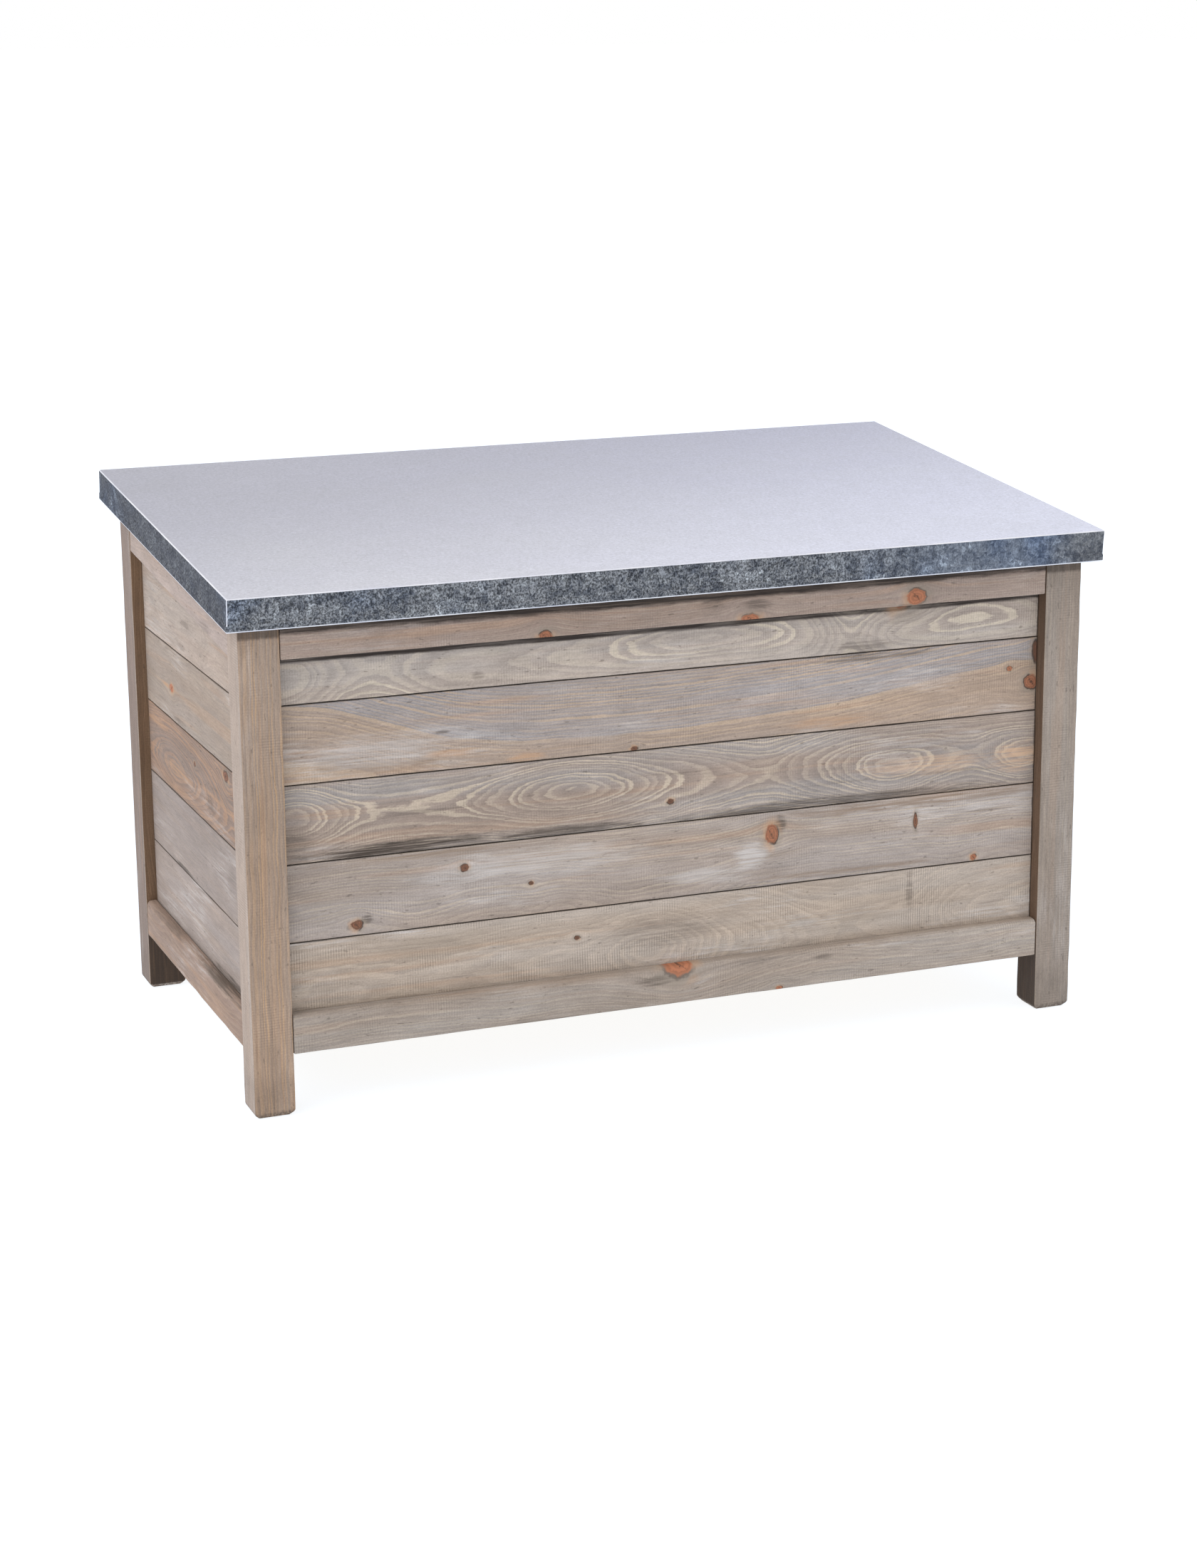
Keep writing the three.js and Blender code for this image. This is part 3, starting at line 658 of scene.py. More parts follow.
# ---------------- front and back panels
# What each board of the front and left panels shows. Knots and stains are at (distance along, height above
# the ground), and bends at a distance along. The other values are in the order that wood() gives.
FRONT = {
    "front_top_rail": dict(
        # the rail's darker ground and tint are partly painted shade under the lid's overhang
        tint=(0.79, 0.765, 0.755),
        pith=(0.085, 0.05), spacing=0.003, contrast=0.42, wander=0.03, warm=0.26,
        ground=(0.435, 0.35, 0.305), second=(0.4, 0.305, 0.25), wash=0.25,
        knots=[(-0.179, 0.571, 0.01, 0.85, 0.35), (0.094, 0.572, 0.0125, 0.6, 0.15),
               (0.326, 0.583, 0.014, 0.75, 0.1)],
        stains=[(0.04, 0.595, 0.02, 0.008, 0.6, DARK), (0.105, 0.59, 0.022, 0.01, 0.6, DARK),
                # the last stain, along the rail's top just below the lid's hem, is a painted shadow of the
                # lid
                (0.31, 0.57, 0.016, 0.005, 0.9, DARK), (0.0, 0.613, 0.9, 0.015, 1.0, SHADE_AND_GRIME)]),
    "front_board_1": dict(
        tint=(1.07, 1.07, 1.045),
        pith=(-0.022, 0.034), spacing=0.0046, contrast=0.72, wander=0.012, warm=0.08,
        ground=(0.375, 0.328, 0.302), second=(0.36, 0.298, 0.262), line=(0.53, 0.455, 0.37),
        bends=[(-0.4, 0.07, 0.012, 0.016), (-0.5, 0.05, 0.0, -0.012), (0.04, 0.17, 0.01, -0.02),
               (0.24, 0.045, -0.012, 0.022), (0.42, 0.1, 0.006, -0.014)],
        knots=[(0.316, 0.585, 0.018, 1.2, 0.6)],
        stains=[(0.26, 0.52, 0.045, 0.01, 0.55, DARK), (-0.262, 0.527, 0.01, 0.007, 0.45, DARK),
                # the last stain, a dark line along the board's top just below the top rail, is painted
                # shade under the rail
                (0.0, 0.5678, 0.9, 0.007, 1.0, SHADE_AND_GRIME)]),
    "front_board_2": dict(
        tint=(0.85, 0.815, 0.8),
        pith=(-0.115, 0.05), spacing=0.004, contrast=0.7, wander=0.01, warm=0.4, heart=0.106, wash=0.42,
        ground=(0.37, 0.35, 0.352), second=(0.425, 0.33, 0.258), line=(0.56, 0.43, 0.31),
        bends=[(-0.52, 0.19, 0.075, 0.0), (0.54, 0.3, 0.045, 0.0)],
        knots=[(0.507, 0.452, 0.011, 0.95, 0.35), (0.474, 0.472, 0.004, 0.9, 0.2),
               (-0.057, 0.416, 0.005, 0.7, 0.9), (0.516, 0.492, 0.008, 2.2, 1.0)],
        stains=[(-0.2, 0.419, 0.03, 0.007, 0.55, ORANGE), (-0.3, 0.434, 0.035, 0.006, 0.55, ORANGE),
                (-0.38, 0.424, 0.11, 0.009, 0.55, BROWN), (-0.455, 0.433, 0.024, 0.01, 0.5, BROWN),
                (0.28, 0.506, 0.11, 0.008, 0.6, DARK), (0.22, 0.425, 0.075, 0.01, 0.45, ORANGE),
                (-0.31, 0.461, 0.012, 0.003, 0.6, DARK), (-0.4, 0.445, 0.085, 0.028, 0.35, PALE)]),
    "front_board_3": dict(
        tint=(0.95, 0.93, 0.93),
        pith=(0.006, 0.036), spacing=0.003, contrast=0.84, wander=0.01, warm=0.18,
        ground=(0.335, 0.302, 0.282), second=(0.345, 0.275, 0.228), line=(0.54, 0.455, 0.355),
        bends=[(-0.5, 0.06, 0.0, -0.018), (-0.15, 0.1, 0.0, -0.018), (0.31, 0.085, -0.01, -0.018),
               (0.5, 0.065, -0.012, -0.018), (0.12, 0.08, -0.006, 0.014)],
        knots=[(-0.008, 0.342, 0.005, 0.7, 1.0)],
        stains=[(-0.36, 0.321, 0.15, 0.011, 1.0, SEAM), (-0.5, 0.335, 0.03, 0.03, 0.45, DARK),
                (-0.15, 0.319, 0.11, 0.008, 0.8, SEAM), (0.22, 0.318, 0.28, 0.009, 0.75, SEAM),
                (0.36, 0.354, 0.11, 0.016, 0.45, PEACH), (0.49, 0.352, 0.05, 0.022, 0.7, PEACH),
                (-0.45, 0.372, 0.05, 0.008, 0.25, ORANGE)]),
    "front_board_4": dict(
        tint=(0.91, 0.88, 0.845),
        pith=(-0.062, 0.036), spacing=0.0034, contrast=0.6, wander=0.055, warm=0.22, wash=0.36,
        ground=(0.4, 0.355, 0.338), second=(0.368, 0.305, 0.268),
        knots=[(0.133, 0.283, 0.0095, 1.5, 0.35), (-0.284, 0.286, 0.006, 0.8, 0.8),
               (-0.425, 0.228, 0.0075, 0.85, 0.75), (0.34, 0.28, 0.003, 3.4, 0.7),
               (-0.197, 0.256, 0.0035, 0.8, 1.0), (0.427, 0.221, 0.005, 1.0, 0.3)],
        stains=[(0.105, 0.258, 0.026, 0.02, 0.7, PALE), (0.04, 0.24, 0.075, 0.012, 0.4, PALE),
                (-0.18, 0.284, 0.17, 0.022, 0.42, PALE), (-0.46, 0.25, 0.04, 0.03, 0.25, HALO),
                (-0.3, 0.308, 0.22, 0.006, 0.6, BROWN), (0.25, 0.224, 0.16, 0.005, 0.6, BROWN),
                (0.33, 0.306, 0.22, 0.011, 0.75, BROWN), (0.146, 0.296, 0.01, 0.014, 0.8, DARK),
                (-0.411, 0.234, 0.009, 0.007, 0.85, DARK)]),
    "front_board_5": dict(
        tint=(0.97, 0.93, 0.92),
        pith=(-0.02, 0.052), spacing=0.0036, contrast=0.42, wander=0.03, warm=0.2, wash=0.65, saw=2.3,
        ground=(0.425, 0.375, 0.325), second=(0.385, 0.322, 0.262),
        bends=[(-0.03, 0.07, 0.0, -0.022), (0.25, 0.18, 0.0, 0.035)],
        knots=[(-0.136, 0.177, 0.004, 0.7, 1.0)],
        stains=[(-0.02, 0.172, 0.09, 0.026, 0.42, DARK), (0.333, 0.185, 0.007, 0.032, 0.45, DARK),
                (-0.33, 0.19, 0.09, 0.018, 0.35, HALO), (0.22, 0.156, 0.12, 0.014, 0.35, HALO)]),
    "front_bottom_rail": dict(
        tint=(0.88, 0.865, 0.845),
        pith=(0.055, 0.05), spacing=0.0036, contrast=0.4, wander=0.035, warm=0.1, wash=0.4,
        ground=(0.385, 0.345, 0.318), second=(0.36, 0.298, 0.255),
        knots=[(-0.003, 0.13, 0.021, 0.85, 0.06), (0.137, 0.081, 0.005, 0.6, 0.2)],
        stains=[(-0.036, 0.112, 0.03, 0.009, 0.85, DARK), (0.2, 0.116, 0.016, 0.005, 0.6, DARK),
                (-0.21, 0.126, 0.24, 0.006, 0.35, BROWN)]),
}
# The left panel's tints darken it, partly as painted shade of its recess between the legs and partly for
# the boards' own tone.
LEFT = {
    "left_top_rail": dict(
        tint=(0.886, 0.836, 0.821),
        pith=(0.09, 0.05), spacing=0.0042, contrast=0.25, warm=0.15,
        ground=(0.47, 0.4, 0.365), second=(0.44, 0.365, 0.32),
        stains=[(-0.14, 0.585, 0.05, 0.008, 0.35, DARK)]),
    "left_board_1": dict(
        tint=(0.933, 0.886, 0.87),
        pith=(-0.03, 0.04), spacing=0.004, contrast=0.35, warm=0.45, wander=0.05,
        ground=(0.45, 0.395, 0.35), second=(0.44, 0.365, 0.31),
        stains=[(0.02, 0.557, 0.03, 0.008, 0.4, DARK), (0.04, 0.524, 0.02, 0.006, 0.4, DARK)]),
    "left_board_2": dict(
        tint=(0.758, 0.71, 0.668),
        pith=(0.1, 0.05), spacing=0.0046, contrast=0.25, warm=0.2,
        ground=(0.43, 0.375, 0.34), second=(0.42, 0.35, 0.3),
        knots=[(0.104, 0.456, 0.01, 0.6, -0.1)],
        stains=[(0.12, 0.455, 0.05, 0.004, 0.6, ORANGE), (0.06, 0.42, 0.05, 0.004, 0.5, DARK)]),
    "left_board_3": dict(
        tint=(0.68, 0.598, 0.559),
        pith=(-0.014, 0.036), spacing=0.0038, contrast=0.75, warm=0.45, wander=0.015,
        ground=(0.365, 0.31, 0.275), second=(0.4, 0.305, 0.245), line=(0.55, 0.38, 0.26),
        bends=[(0.1, 0.13, 0.0, -0.022), (-0.2, 0.09, 0.0, 0.016)],
        knots=[(-0.006, 0.379, 0.005, 0.7, 0.8), (-0.166, 0.4, 0.012, 0.6, 0.7)],
        stains=[(0.08, 0.348, 0.1, 0.01, 0.55, ORANGE), (0.2, 0.392, 0.08, 0.006, 0.5, ORANGE),
                (-0.08, 0.343, 0.03, 0.014, 0.4, DARK), (-0.175, 0.407, 0.03, 0.005, 0.7, DARK)]),
    "left_board_4": dict(
        tint=(0.699, 0.642, 0.606),
        pith=(-0.12, 0.05), spacing=0.005, contrast=0.2, warm=0.05,
        ground=(0.425, 0.385, 0.372), second=(0.41, 0.362, 0.338),
        stains=[(0.07, 0.218, 0.07, 0.004, 0.8, DARK), (-0.18, 0.27, 0.03, 0.02, 0.25, DARK)]),
    "left_board_5": dict(
        tint=(0.754, 0.7, 0.688),
        pith=(0.1, 0.06), spacing=0.005, contrast=0.22, warm=0.1,
        ground=(0.435, 0.395, 0.37), second=(0.42, 0.365, 0.325),
        stains=[(-0.17, 0.133, 0.11, 0.006, 0.9, DARK)]),
    "left_bottom_rail": dict(
        tint=(0.699, 0.617, 0.568),
        pith=(0.03, 0.05), spacing=0.004, contrast=0.3, warm=0.25,
        ground=(0.42, 0.345, 0.305), second=(0.395, 0.31, 0.262),
        stains=[(-0.15, 0.128, 0.14, 0.007, 0.8, DARK), (0.12, 0.126, 0.1, 0.004, 0.5, DARK)]),
}
ROW_NAMES = ["top_rail", "board_1", "board_2", "board_3", "board_4", "board_5", "bottom_rail"]
RAIL_WEAR = (1.8 * MM, 0.7 * MM)  # radius of the eased edges, depth of the nibbles
BOARD_WEAR = (0.9 * MM, 0.45 * MM)
# strength of the dirt and painted shade at the boards' edges
BOARD_GRIME_AND_SHADE = 0.6
PANELS = {
    "front": (X, Z, Y, FRONT),
    "back": (X, Z, -Y, {}),
    "left": (Y, Z, X, LEFT),
    "right": (Y, Z, -X, {}),
}
PANEL_SEED, LEG_SEED, INSIDE_SEED = 1.0, 61.0, 91.0
KNOT_CHANCE = 0.62
MOST_KNOTS = 2
CATHEDRAL_BENDS = 3  # bends of the pith that make arches


def spread(seed, low, high):
    """A number between low and high that depends only on the seed."""
    return low + (high - low) * (0.5 + 0.5 * math.sin(seed * 12.9898) * math.cos(seed * 4.1414))


def chance_look(seed, low, high):
    """The look of a board that isn't described above: its own pith, tone and a knot or two."""
    cathedral = spread(seed + 1, 0, 1) > 0.5
    knots = []
    for i in range(MOST_KNOTS):
        if spread(seed + 7 * i, 0, 1) > 1 - KNOT_CHANCE:
            knots.append((spread(seed + 11 + i, low[0], high[0]), spread(seed + 17 + i, low[1], high[1]),
                          spread(seed + 23 + i, 0.005, 0.013), spread(seed + 26 + i, 0.7, 1.2),
                          spread(seed + 29 + i, 0.0, 0.8)))
    bends = [(spread(seed + 31 + i, low[0], high[0]), spread(seed + 37 + i, 0.06, 0.14), 0.0,
              spread(seed + 41 + i, -0.02, 0.016)) for i in range(CATHEDRAL_BENDS if cathedral else 0)]
    tint = spread(seed + 3, -0.03, 0.03)
    return dict(
        pith=(spread(seed + 5, -0.02, 0.02), 0.037) if cathedral else (spread(seed + 5, 0.08, 0.14), 0.05),
        bends=bends,
        spacing=spread(seed + 2, 0.003, 0.0044),
        contrast=spread(seed + 4, 0.35, 0.9),
        wander=spread(seed + 6, 0.015, 0.045),
        warm=spread(seed + 8, 0.08, 0.4),
        ground=tuple(c + tint for c in (0.395, 0.35, 0.325)),
        second=tuple(c + tint for c in (0.37, 0.302, 0.26)),
        knots=knots,
    )


def board_look(look, middle, grain):
    """The same look with its places measured from the board's middle."""
    start = middle.dot(grain)
    moved = dict(look)
    moved["bends"] = [(x - start, *rest) for x, *rest in look.get("bends", [])]
    for kind in ("knots", "stains"):
        moved[kind] = [(x - start, z - middle.z, *rest) for x, z, *rest in look.get(kind, [])]
    return moved


def make_panels():
    seed = PANEL_SEED
    for panel, (grain, across, inward, described) in PANELS.items():
        for row in ROW_NAMES:
            node = f"{panel}_{row}"
            seed += 1.37
            low, high = span_of(node)
            middle = (low + high) / 2
            look = described.get(node) or chance_look(
                seed, (low.dot(grain), low.z), (high.dot(grain), high.z))
            look = board_look(look, middle, grain)
            radius, depth = RAIL_WEAR
            if "board" in row:
                look["half"] = ((high - low).dot(grain) / 2, (high.z - low.z) / 2)
                look["grime"] = BOARD_GRIME_AND_SHADE
                radius, depth = BOARD_WEAR
            material = wood(f"wood_{node}", middle, grain, across, inward, seed, **look)
            timber(node, grain, [material], seed, radius, depth)


# ---------------- legs
# Each leg has one look on its front and back, another on its two sides.
RIGHT_LEG = dict(contrast=0.3, warm=0.12, ground=(0.35, 0.305, 0.275), second=(0.33, 0.275, 0.238))
BACK_LEG = dict(contrast=0.32, warm=0.25, ground=(0.37, 0.315, 0.285), second=(0.345, 0.285, 0.245))
LEG_LOOKS = {
    "leg_front_left": (
        dict(tint=(0.815, 0.76, 0.72), contrast=0.9, warm=0.45, line=(0.52, 0.365, 0.235), wash=0.15,
             ground=(0.4, 0.325, 0.27), second=(0.37, 0.28, 0.215)),
        dict(tint=(1.0, 0.94, 0.893), contrast=0.12, warm=0.08, wash=0.25,
             ground=(0.395, 0.345, 0.315), second=(0.375, 0.315, 0.278))),
    "leg_front_right": (dict(tint=(0.785, 0.76, 0.725), wash=0.2, **RIGHT_LEG), RIGHT_LEG),
    "leg_back_left": (
        dict(contrast=0.3, warm=0.2, ground=(0.36, 0.31, 0.28), second=(0.34, 0.28, 0.24)),
        dict(tint=(0.55, 0.49, 0.465), contrast=0.22, warm=0.2, wash=0.3,
             ground=(0.42, 0.365, 0.335), second=(0.4, 0.335, 0.295))),
    "leg_back_right": (BACK_LEG, BACK_LEG),
}
LEG_RINGS = dict(pith=(0.1, -0.1), spacing=0.0038, wander=0.012)
FOOT = 0.01  # height of the dark stain on the feet
FOOT_SHADE = 0.06  # and of the fainter painted shade above it
INNER_SHADE = 0.105  # and of the painted shade near the ground on the inner faces
UNDER_LID = 0.61  # height of the painted shade below the lid's hem
FRONT_INNER = (1.12, 1.05, 1.0)  # tints of the inner faces' painted shade
BACK_INNER = (1.75, 1.62, 1.42)


def make_legs():
    for i, (node, (face_look, side_look)) in enumerate(LEG_LOOKS.items()):
        seed = LEG_SEED + 2.9 * i
        middle = middle_of(node)
        ground = -middle.z
        # each foot gets a dark stain and, above it, painted shade fading up from the ground
        feet = [(ground, 0.0, FOOT, WIDE, 0.8, DARK_STAIN_AND_SHADE), (ground, 0.0, FOOT_SHADE, WIDE, 0.15, SHADE_AND_GRIME)]
        # the inner faces get painted shade near the ground
        shade = [(ground, 0.0, INNER_SHADE, WIDE, 0.88, SHADE_AND_GRIME)]
        under_lid, inner = [], BACK_INNER
        # the front legs also get painted shade below the lid's hem
        if "front" in node:
            under_lid, inner = [(UNDER_LID + ground, 0.0, 0.012, WIDE, 0.7, SHADE_AND_GRIME)], FRONT_INNER
        face = wood(f"wood_{node}", middle, Z, X, Y, seed, stains=feet + under_lid, **LEG_RINGS,
                    **face_look)
        # the inner faces are painted dark brown as painted shade, lighter on the back legs
        shaded_inner = shaded_inner_wood(f"stain_{node}", middle, Z, X, Y, seed + 1.0, tint=inner, stains=shade)
        flank = wood(f"wood_{node}_side", middle, Z, Y, X, seed + 2.0, stains=feet, **LEG_RINGS,
                     **side_look)
        sides = [(X, 2), (-X, 2), (-X if middle.x > 0 else X, 1), (-Y if middle.y > 0 else Y, 1)]
        timber(node, Z, [face, shaded_inner, flank], seed, 2.0 * MM, 0.7 * MM, sides=sides)


# ---------------- inside of the chest and lid
def make_inside():
    plain = [
        ("front_batten", Z, X, Y), ("back_batten", Z, X, Y),
        ("left_batten", Z, Y, X), ("right_batten", Z, Y, X),
        ("floor_bearer_front", X, Z, Y), ("floor_bearer_back", X, Z, Y),
        ("lid_batten_front", X, Y, Z), ("lid_batten_back", X, Y, Z),
        ("lid_batten_left", Y, X, Z), ("lid_batten_right", Y, X, Z),
    ]
    for i, (node, grain, across, inward) in enumerate(plain):
        seed = INSIDE_SEED + 3.3 * i
        low, high = span_of(node)
        middle = (low + high) / 2
        reach = (high - low).dot(grain)
        knots = [(spread(seed + k, -0.45, 0.45) * reach, spread(seed + 9 + k, -0.02, 0.02), 0.007, 1.0, 0.1)
                 for k in range(2)]
        material = wood(f"wood_{node}", middle, grain, across, inward, seed, base=BARE, knots=knots,
                        pith=(spread(seed, -0.05, 0.05), 0.05), contrast=0.55, bump=0.35)
        timber(node, grain, [material], seed, 1.5 * MM, 0.3 * MM)
    for node, seed in (("lid_deck", 131.0), ("floor_panel", 137.0)):
        material = wood(f"ply_{node}", middle_of(node), X, Y, Z, seed, base=PLYWOOD, pith=(0.0, 0.16),
                        spacing=0.006, contrast=0.45, wander=0.09, bump=0.2,
                        knots=[(-0.31, 0.12, 0.012, 0.9, 0.1), (0.22, -0.15, 0.01, 1.1, 0.3)])
        timber(node, X, [material], seed, 0.8 * MM, 0.2 * MM)


# ---------------- zinc
LID_END = (0.582, 0.584)  # where the skirt turns onto the lid's ends


def zinc_top_material():
    """Dull sheet with fine specks and a few scratches along the grain; a painted sheen makes it paler at
    the front and towards the right, and painted shade darker towards the back.
    """
    material, net, shader = new_material("zinc_top", 0.5)
    place = net.place()
    x, y, _ = net.split(place)
    smudge = net.grain(place, (2.6, 4.2, 3.0), 5.0, 0.6, 0.6)
    # painted sheen and shade: paler at the front and towards the right, darker towards the back, broken up
    # by smudges
    reach = net.madd(smudge, 0.5, net.madd(x, -0.3, y))
    back = net.step(reach, -0.3, 0.6)
    color = net.mix(back, ZINC_TOP, ZINC_TOP_SHADED)
    cast = net.mix(net.step(x, -0.5, 0.6), ZINC_WARM_CAST, ZINC_COOL_CAST)
    color = net.mix(1.0, color, cast, "MULTIPLY")
    tone = net.cells(place, 55.0)[0]
    color = net.vary(color, tone, 0.05, 0.975)
    color = net.vary(color, smudge, 0.34, 0.82)
    speck = net.noise(place, 270.0, 5.0, 0.8)
    color = net.vary(color, speck, 1.0, 0.5)
    lines = net.grain(place, (6.0, 420.0, 6.0), 2.0, 0.6)
    scratch = net.mul(net.step(lines, 0.68, 0.75), net.step(smudge, 0.48, 0.6))
    color = net.mix(net.mul(scratch, 0.4), color, ZINC_SCRATCH_AND_HIGHLIGHT)
    rough = net.madd(tone, 0.05, net.madd(smudge, 0.2, 0.36))
    net.finish(shader, color, rough, speck, 0.12, 0.3 * MM)
    return material


def zinc_skirt_material():
    """Mottled galvanised sheet: crystals of two sizes, runs, blue patches and dark flecks.
    The flecks are fainter, and the sheet bluer, towards the right."""
    material, net, shader = new_material("zinc_skirt", 0.6, **{"Specular Tint": ZINC_GRAZING})
    place = net.place()
    swirl = net.noise(place, 120.0)
    other = net.noise(net.vector("ADD", place, (3.0, 5.0, 7.0)), 120.0)
    shift = net.stretch(net.join(swirl, other, swirl), (0.005, 0.005, 0.005))
    bent = net.vector("ADD", place, shift)
    small = net.cells(bent, 210.0)[0]
    large = net.cells(bent, 75.0)[1]
    runs = net.grain(place, (75.0, 75.0, 6.0), 4.0, 0.6)
    cloud = net.noise(place, 9.0, 4.0, 0.65)
    mixed = net.add(net.mul(small, 0.3), net.mul(large, 0.2))
    mixed = net.madd(runs, 0.3, mixed)
    mixed = net.madd(cloud, 0.4, mixed)
    color = net.mix(net.step(mixed, 0.34, 0.78), ZINC_DARK, ZINC_MID)
    color = net.mix(net.mul(net.step(mixed, 0.74, 0.96), 0.8), color, ZINC_LIGHT)
    blue = net.step(net.noise(place, 5.0, 3.0, 0.6), 0.5, 0.68)
    color = net.mix(net.mul(blue, 0.5), color, ZINC_BLUE, "SOFT_LIGHT")
    flecks = net.grain(place, (440.0, 440.0, 360.0), 3.0, 0.7)
    fleck = net.step(flecks, 0.37, 0.65, 0.34, 1.8)
    x = net.split(place)[0]
    right = net.step(x, 0.16, 0.4)
    calm = net.mul(right, 0.55)
    fleck = net.madd(net.sub(1.06, fleck), calm, fleck)
    color = net.shade(color, fleck)
    bluer = net.mul(right, net.step(x, 0.46, 0.56, 0.3, 0.0))
    color = net.mix(bluer, color, ZINC_BLUE, "SOFT_LIGHT")
    end = net.abs(x)
    # painted shade: the skirt's two ends are darker
    color = net.shade(color, net.step(end, *LID_END, 1.0, END_SKIRT_SHADE))
    net.finish(shader, color, net.madd(small, 0.22, 0.36), mixed, 0.25, 0.6 * MM)
    return material


def zinc_highlight_material():
    """Where the sheet is folded, and along the hem and corners, it is painted bright: a painted highlight.
    """
    material, net, shader = new_material("zinc_highlight", 0.35)
    glint = net.noise(net.place(), 16.0, 3.0, 0.6)
    color = net.mix(net.step(glint, 0.35, 0.65), ZINC_TOP, ZINC_SCRATCH_AND_HIGHLIGHT)
    net.finish(shader, color, net.madd(glint, 0.2, 0.25), glint, 0.15, 0.4 * MM)
    return material


FOLD = 2.2 * MM  # radius of the sheet's top fold
SKIRT_INSET = 0.7 * MM  # plain skirt behind the hem's face
HEM = 9.0 * MM  # height of the folded hem
SHEET = 1.0 * MM
CORNER = 2.4 * MM  # radius of the lid's corners
DISH = 0.35 * MM  # how far the top sinks
WAVE = 0.25 * MM  # how far the skirt bends in
LONG_CUTS = 36
SHORT_CUTS = 22
ARC_CUTS = 4
TOP, SKIRT, EDGE = 0, 1, 2  # the cover's materials, by place in its list; EDGE carries the painted highlight
TOP_INSETS = (0.2, 0.11, 0.06, 0.03, 0.012)
INNER_INSET = SKIRT_INSET + SHEET  # the skirt's inner face
# the hem's levels in EDGE carry the painted highlight along its bottom
HEM_LEVELS = [
    (SKIRT_INSET, HEM + 1.2 * MM, SKIRT), (SKIRT_INSET * 0.5, HEM + 0.5 * MM, SKIRT),
    (0.0, HEM - 0.4 * MM, SKIRT), (0.0, 1.4 * MM, SKIRT),
    (0.15 * MM, 0.5 * MM, EDGE), (0.7 * MM, 0.0, EDGE), (1.5 * MM, 0.1 * MM, EDGE),
    (2.0 * MM, 0.8 * MM, EDGE), (2.0 * MM, HEM, SKIRT), (INNER_INSET, HEM + 0.6 * MM, SKIRT),
]


def lid_frame():
    """The lid's own axes and size: (origin at its lower front middle, direction to the back, normal,
    length to the back, thickness, width)."""
    mount = next(m for m in frame["record"]["mounts"] if m["name"] == "lid_top")
    normal = Vector(mount["axis"]).normalized()
    along = X.cross(normal) * -1.0
    slope = math.atan2(along.z, along.y)
    low, high = span_of("zinc_cover")
    size = high - low
    length = (size.y * math.cos(slope) - size.z * math.sin(slope)) / math.cos(2 * slope)
    thick = (size.z * math.cos(slope) - size.y * math.sin(slope)) / math.cos(2 * slope)
    origin = Vector((0, low.y + thick * math.sin(slope), low.z))
    return origin, along, normal, length, thick, size.x


def outline_points(width, length, inset, radius):
    """Round the lid's edge once, anticlockwise from the front, with the same count at any inset."""
    x, y0, y1 = width / 2 - inset, inset, length - inset
    radius = max(0.05 * MM, radius - inset)
    corners = [(x - radius, y0 + radius, -90), (x - radius, y1 - radius, 0),
               (-x + radius, y1 - radius, 90), (-x + radius, y0 + radius, 180)]
    points = []
    for i, (cx, cy, start) in enumerate(corners):
        for k in range(ARC_CUTS + 1):
            angle = math.radians(start + 90 * k / ARC_CUTS)
            points.append((cx + radius * math.cos(angle), cy + radius * math.sin(angle)))
        nx, ny, turn = corners[(i + 1) % 4]
        angle = math.radians(turn)
        goal = (nx + radius * math.cos(angle), ny + radius * math.sin(angle))
        cuts = SHORT_CUTS if i % 2 == 0 else LONG_CUTS
        last = points[-1]
        for k in range(1, cuts):
            t = k / cuts
            points.append((last[0] + (goal[0] - last[0]) * t, last[1] + (goal[1] - last[1]) * t))
    return points


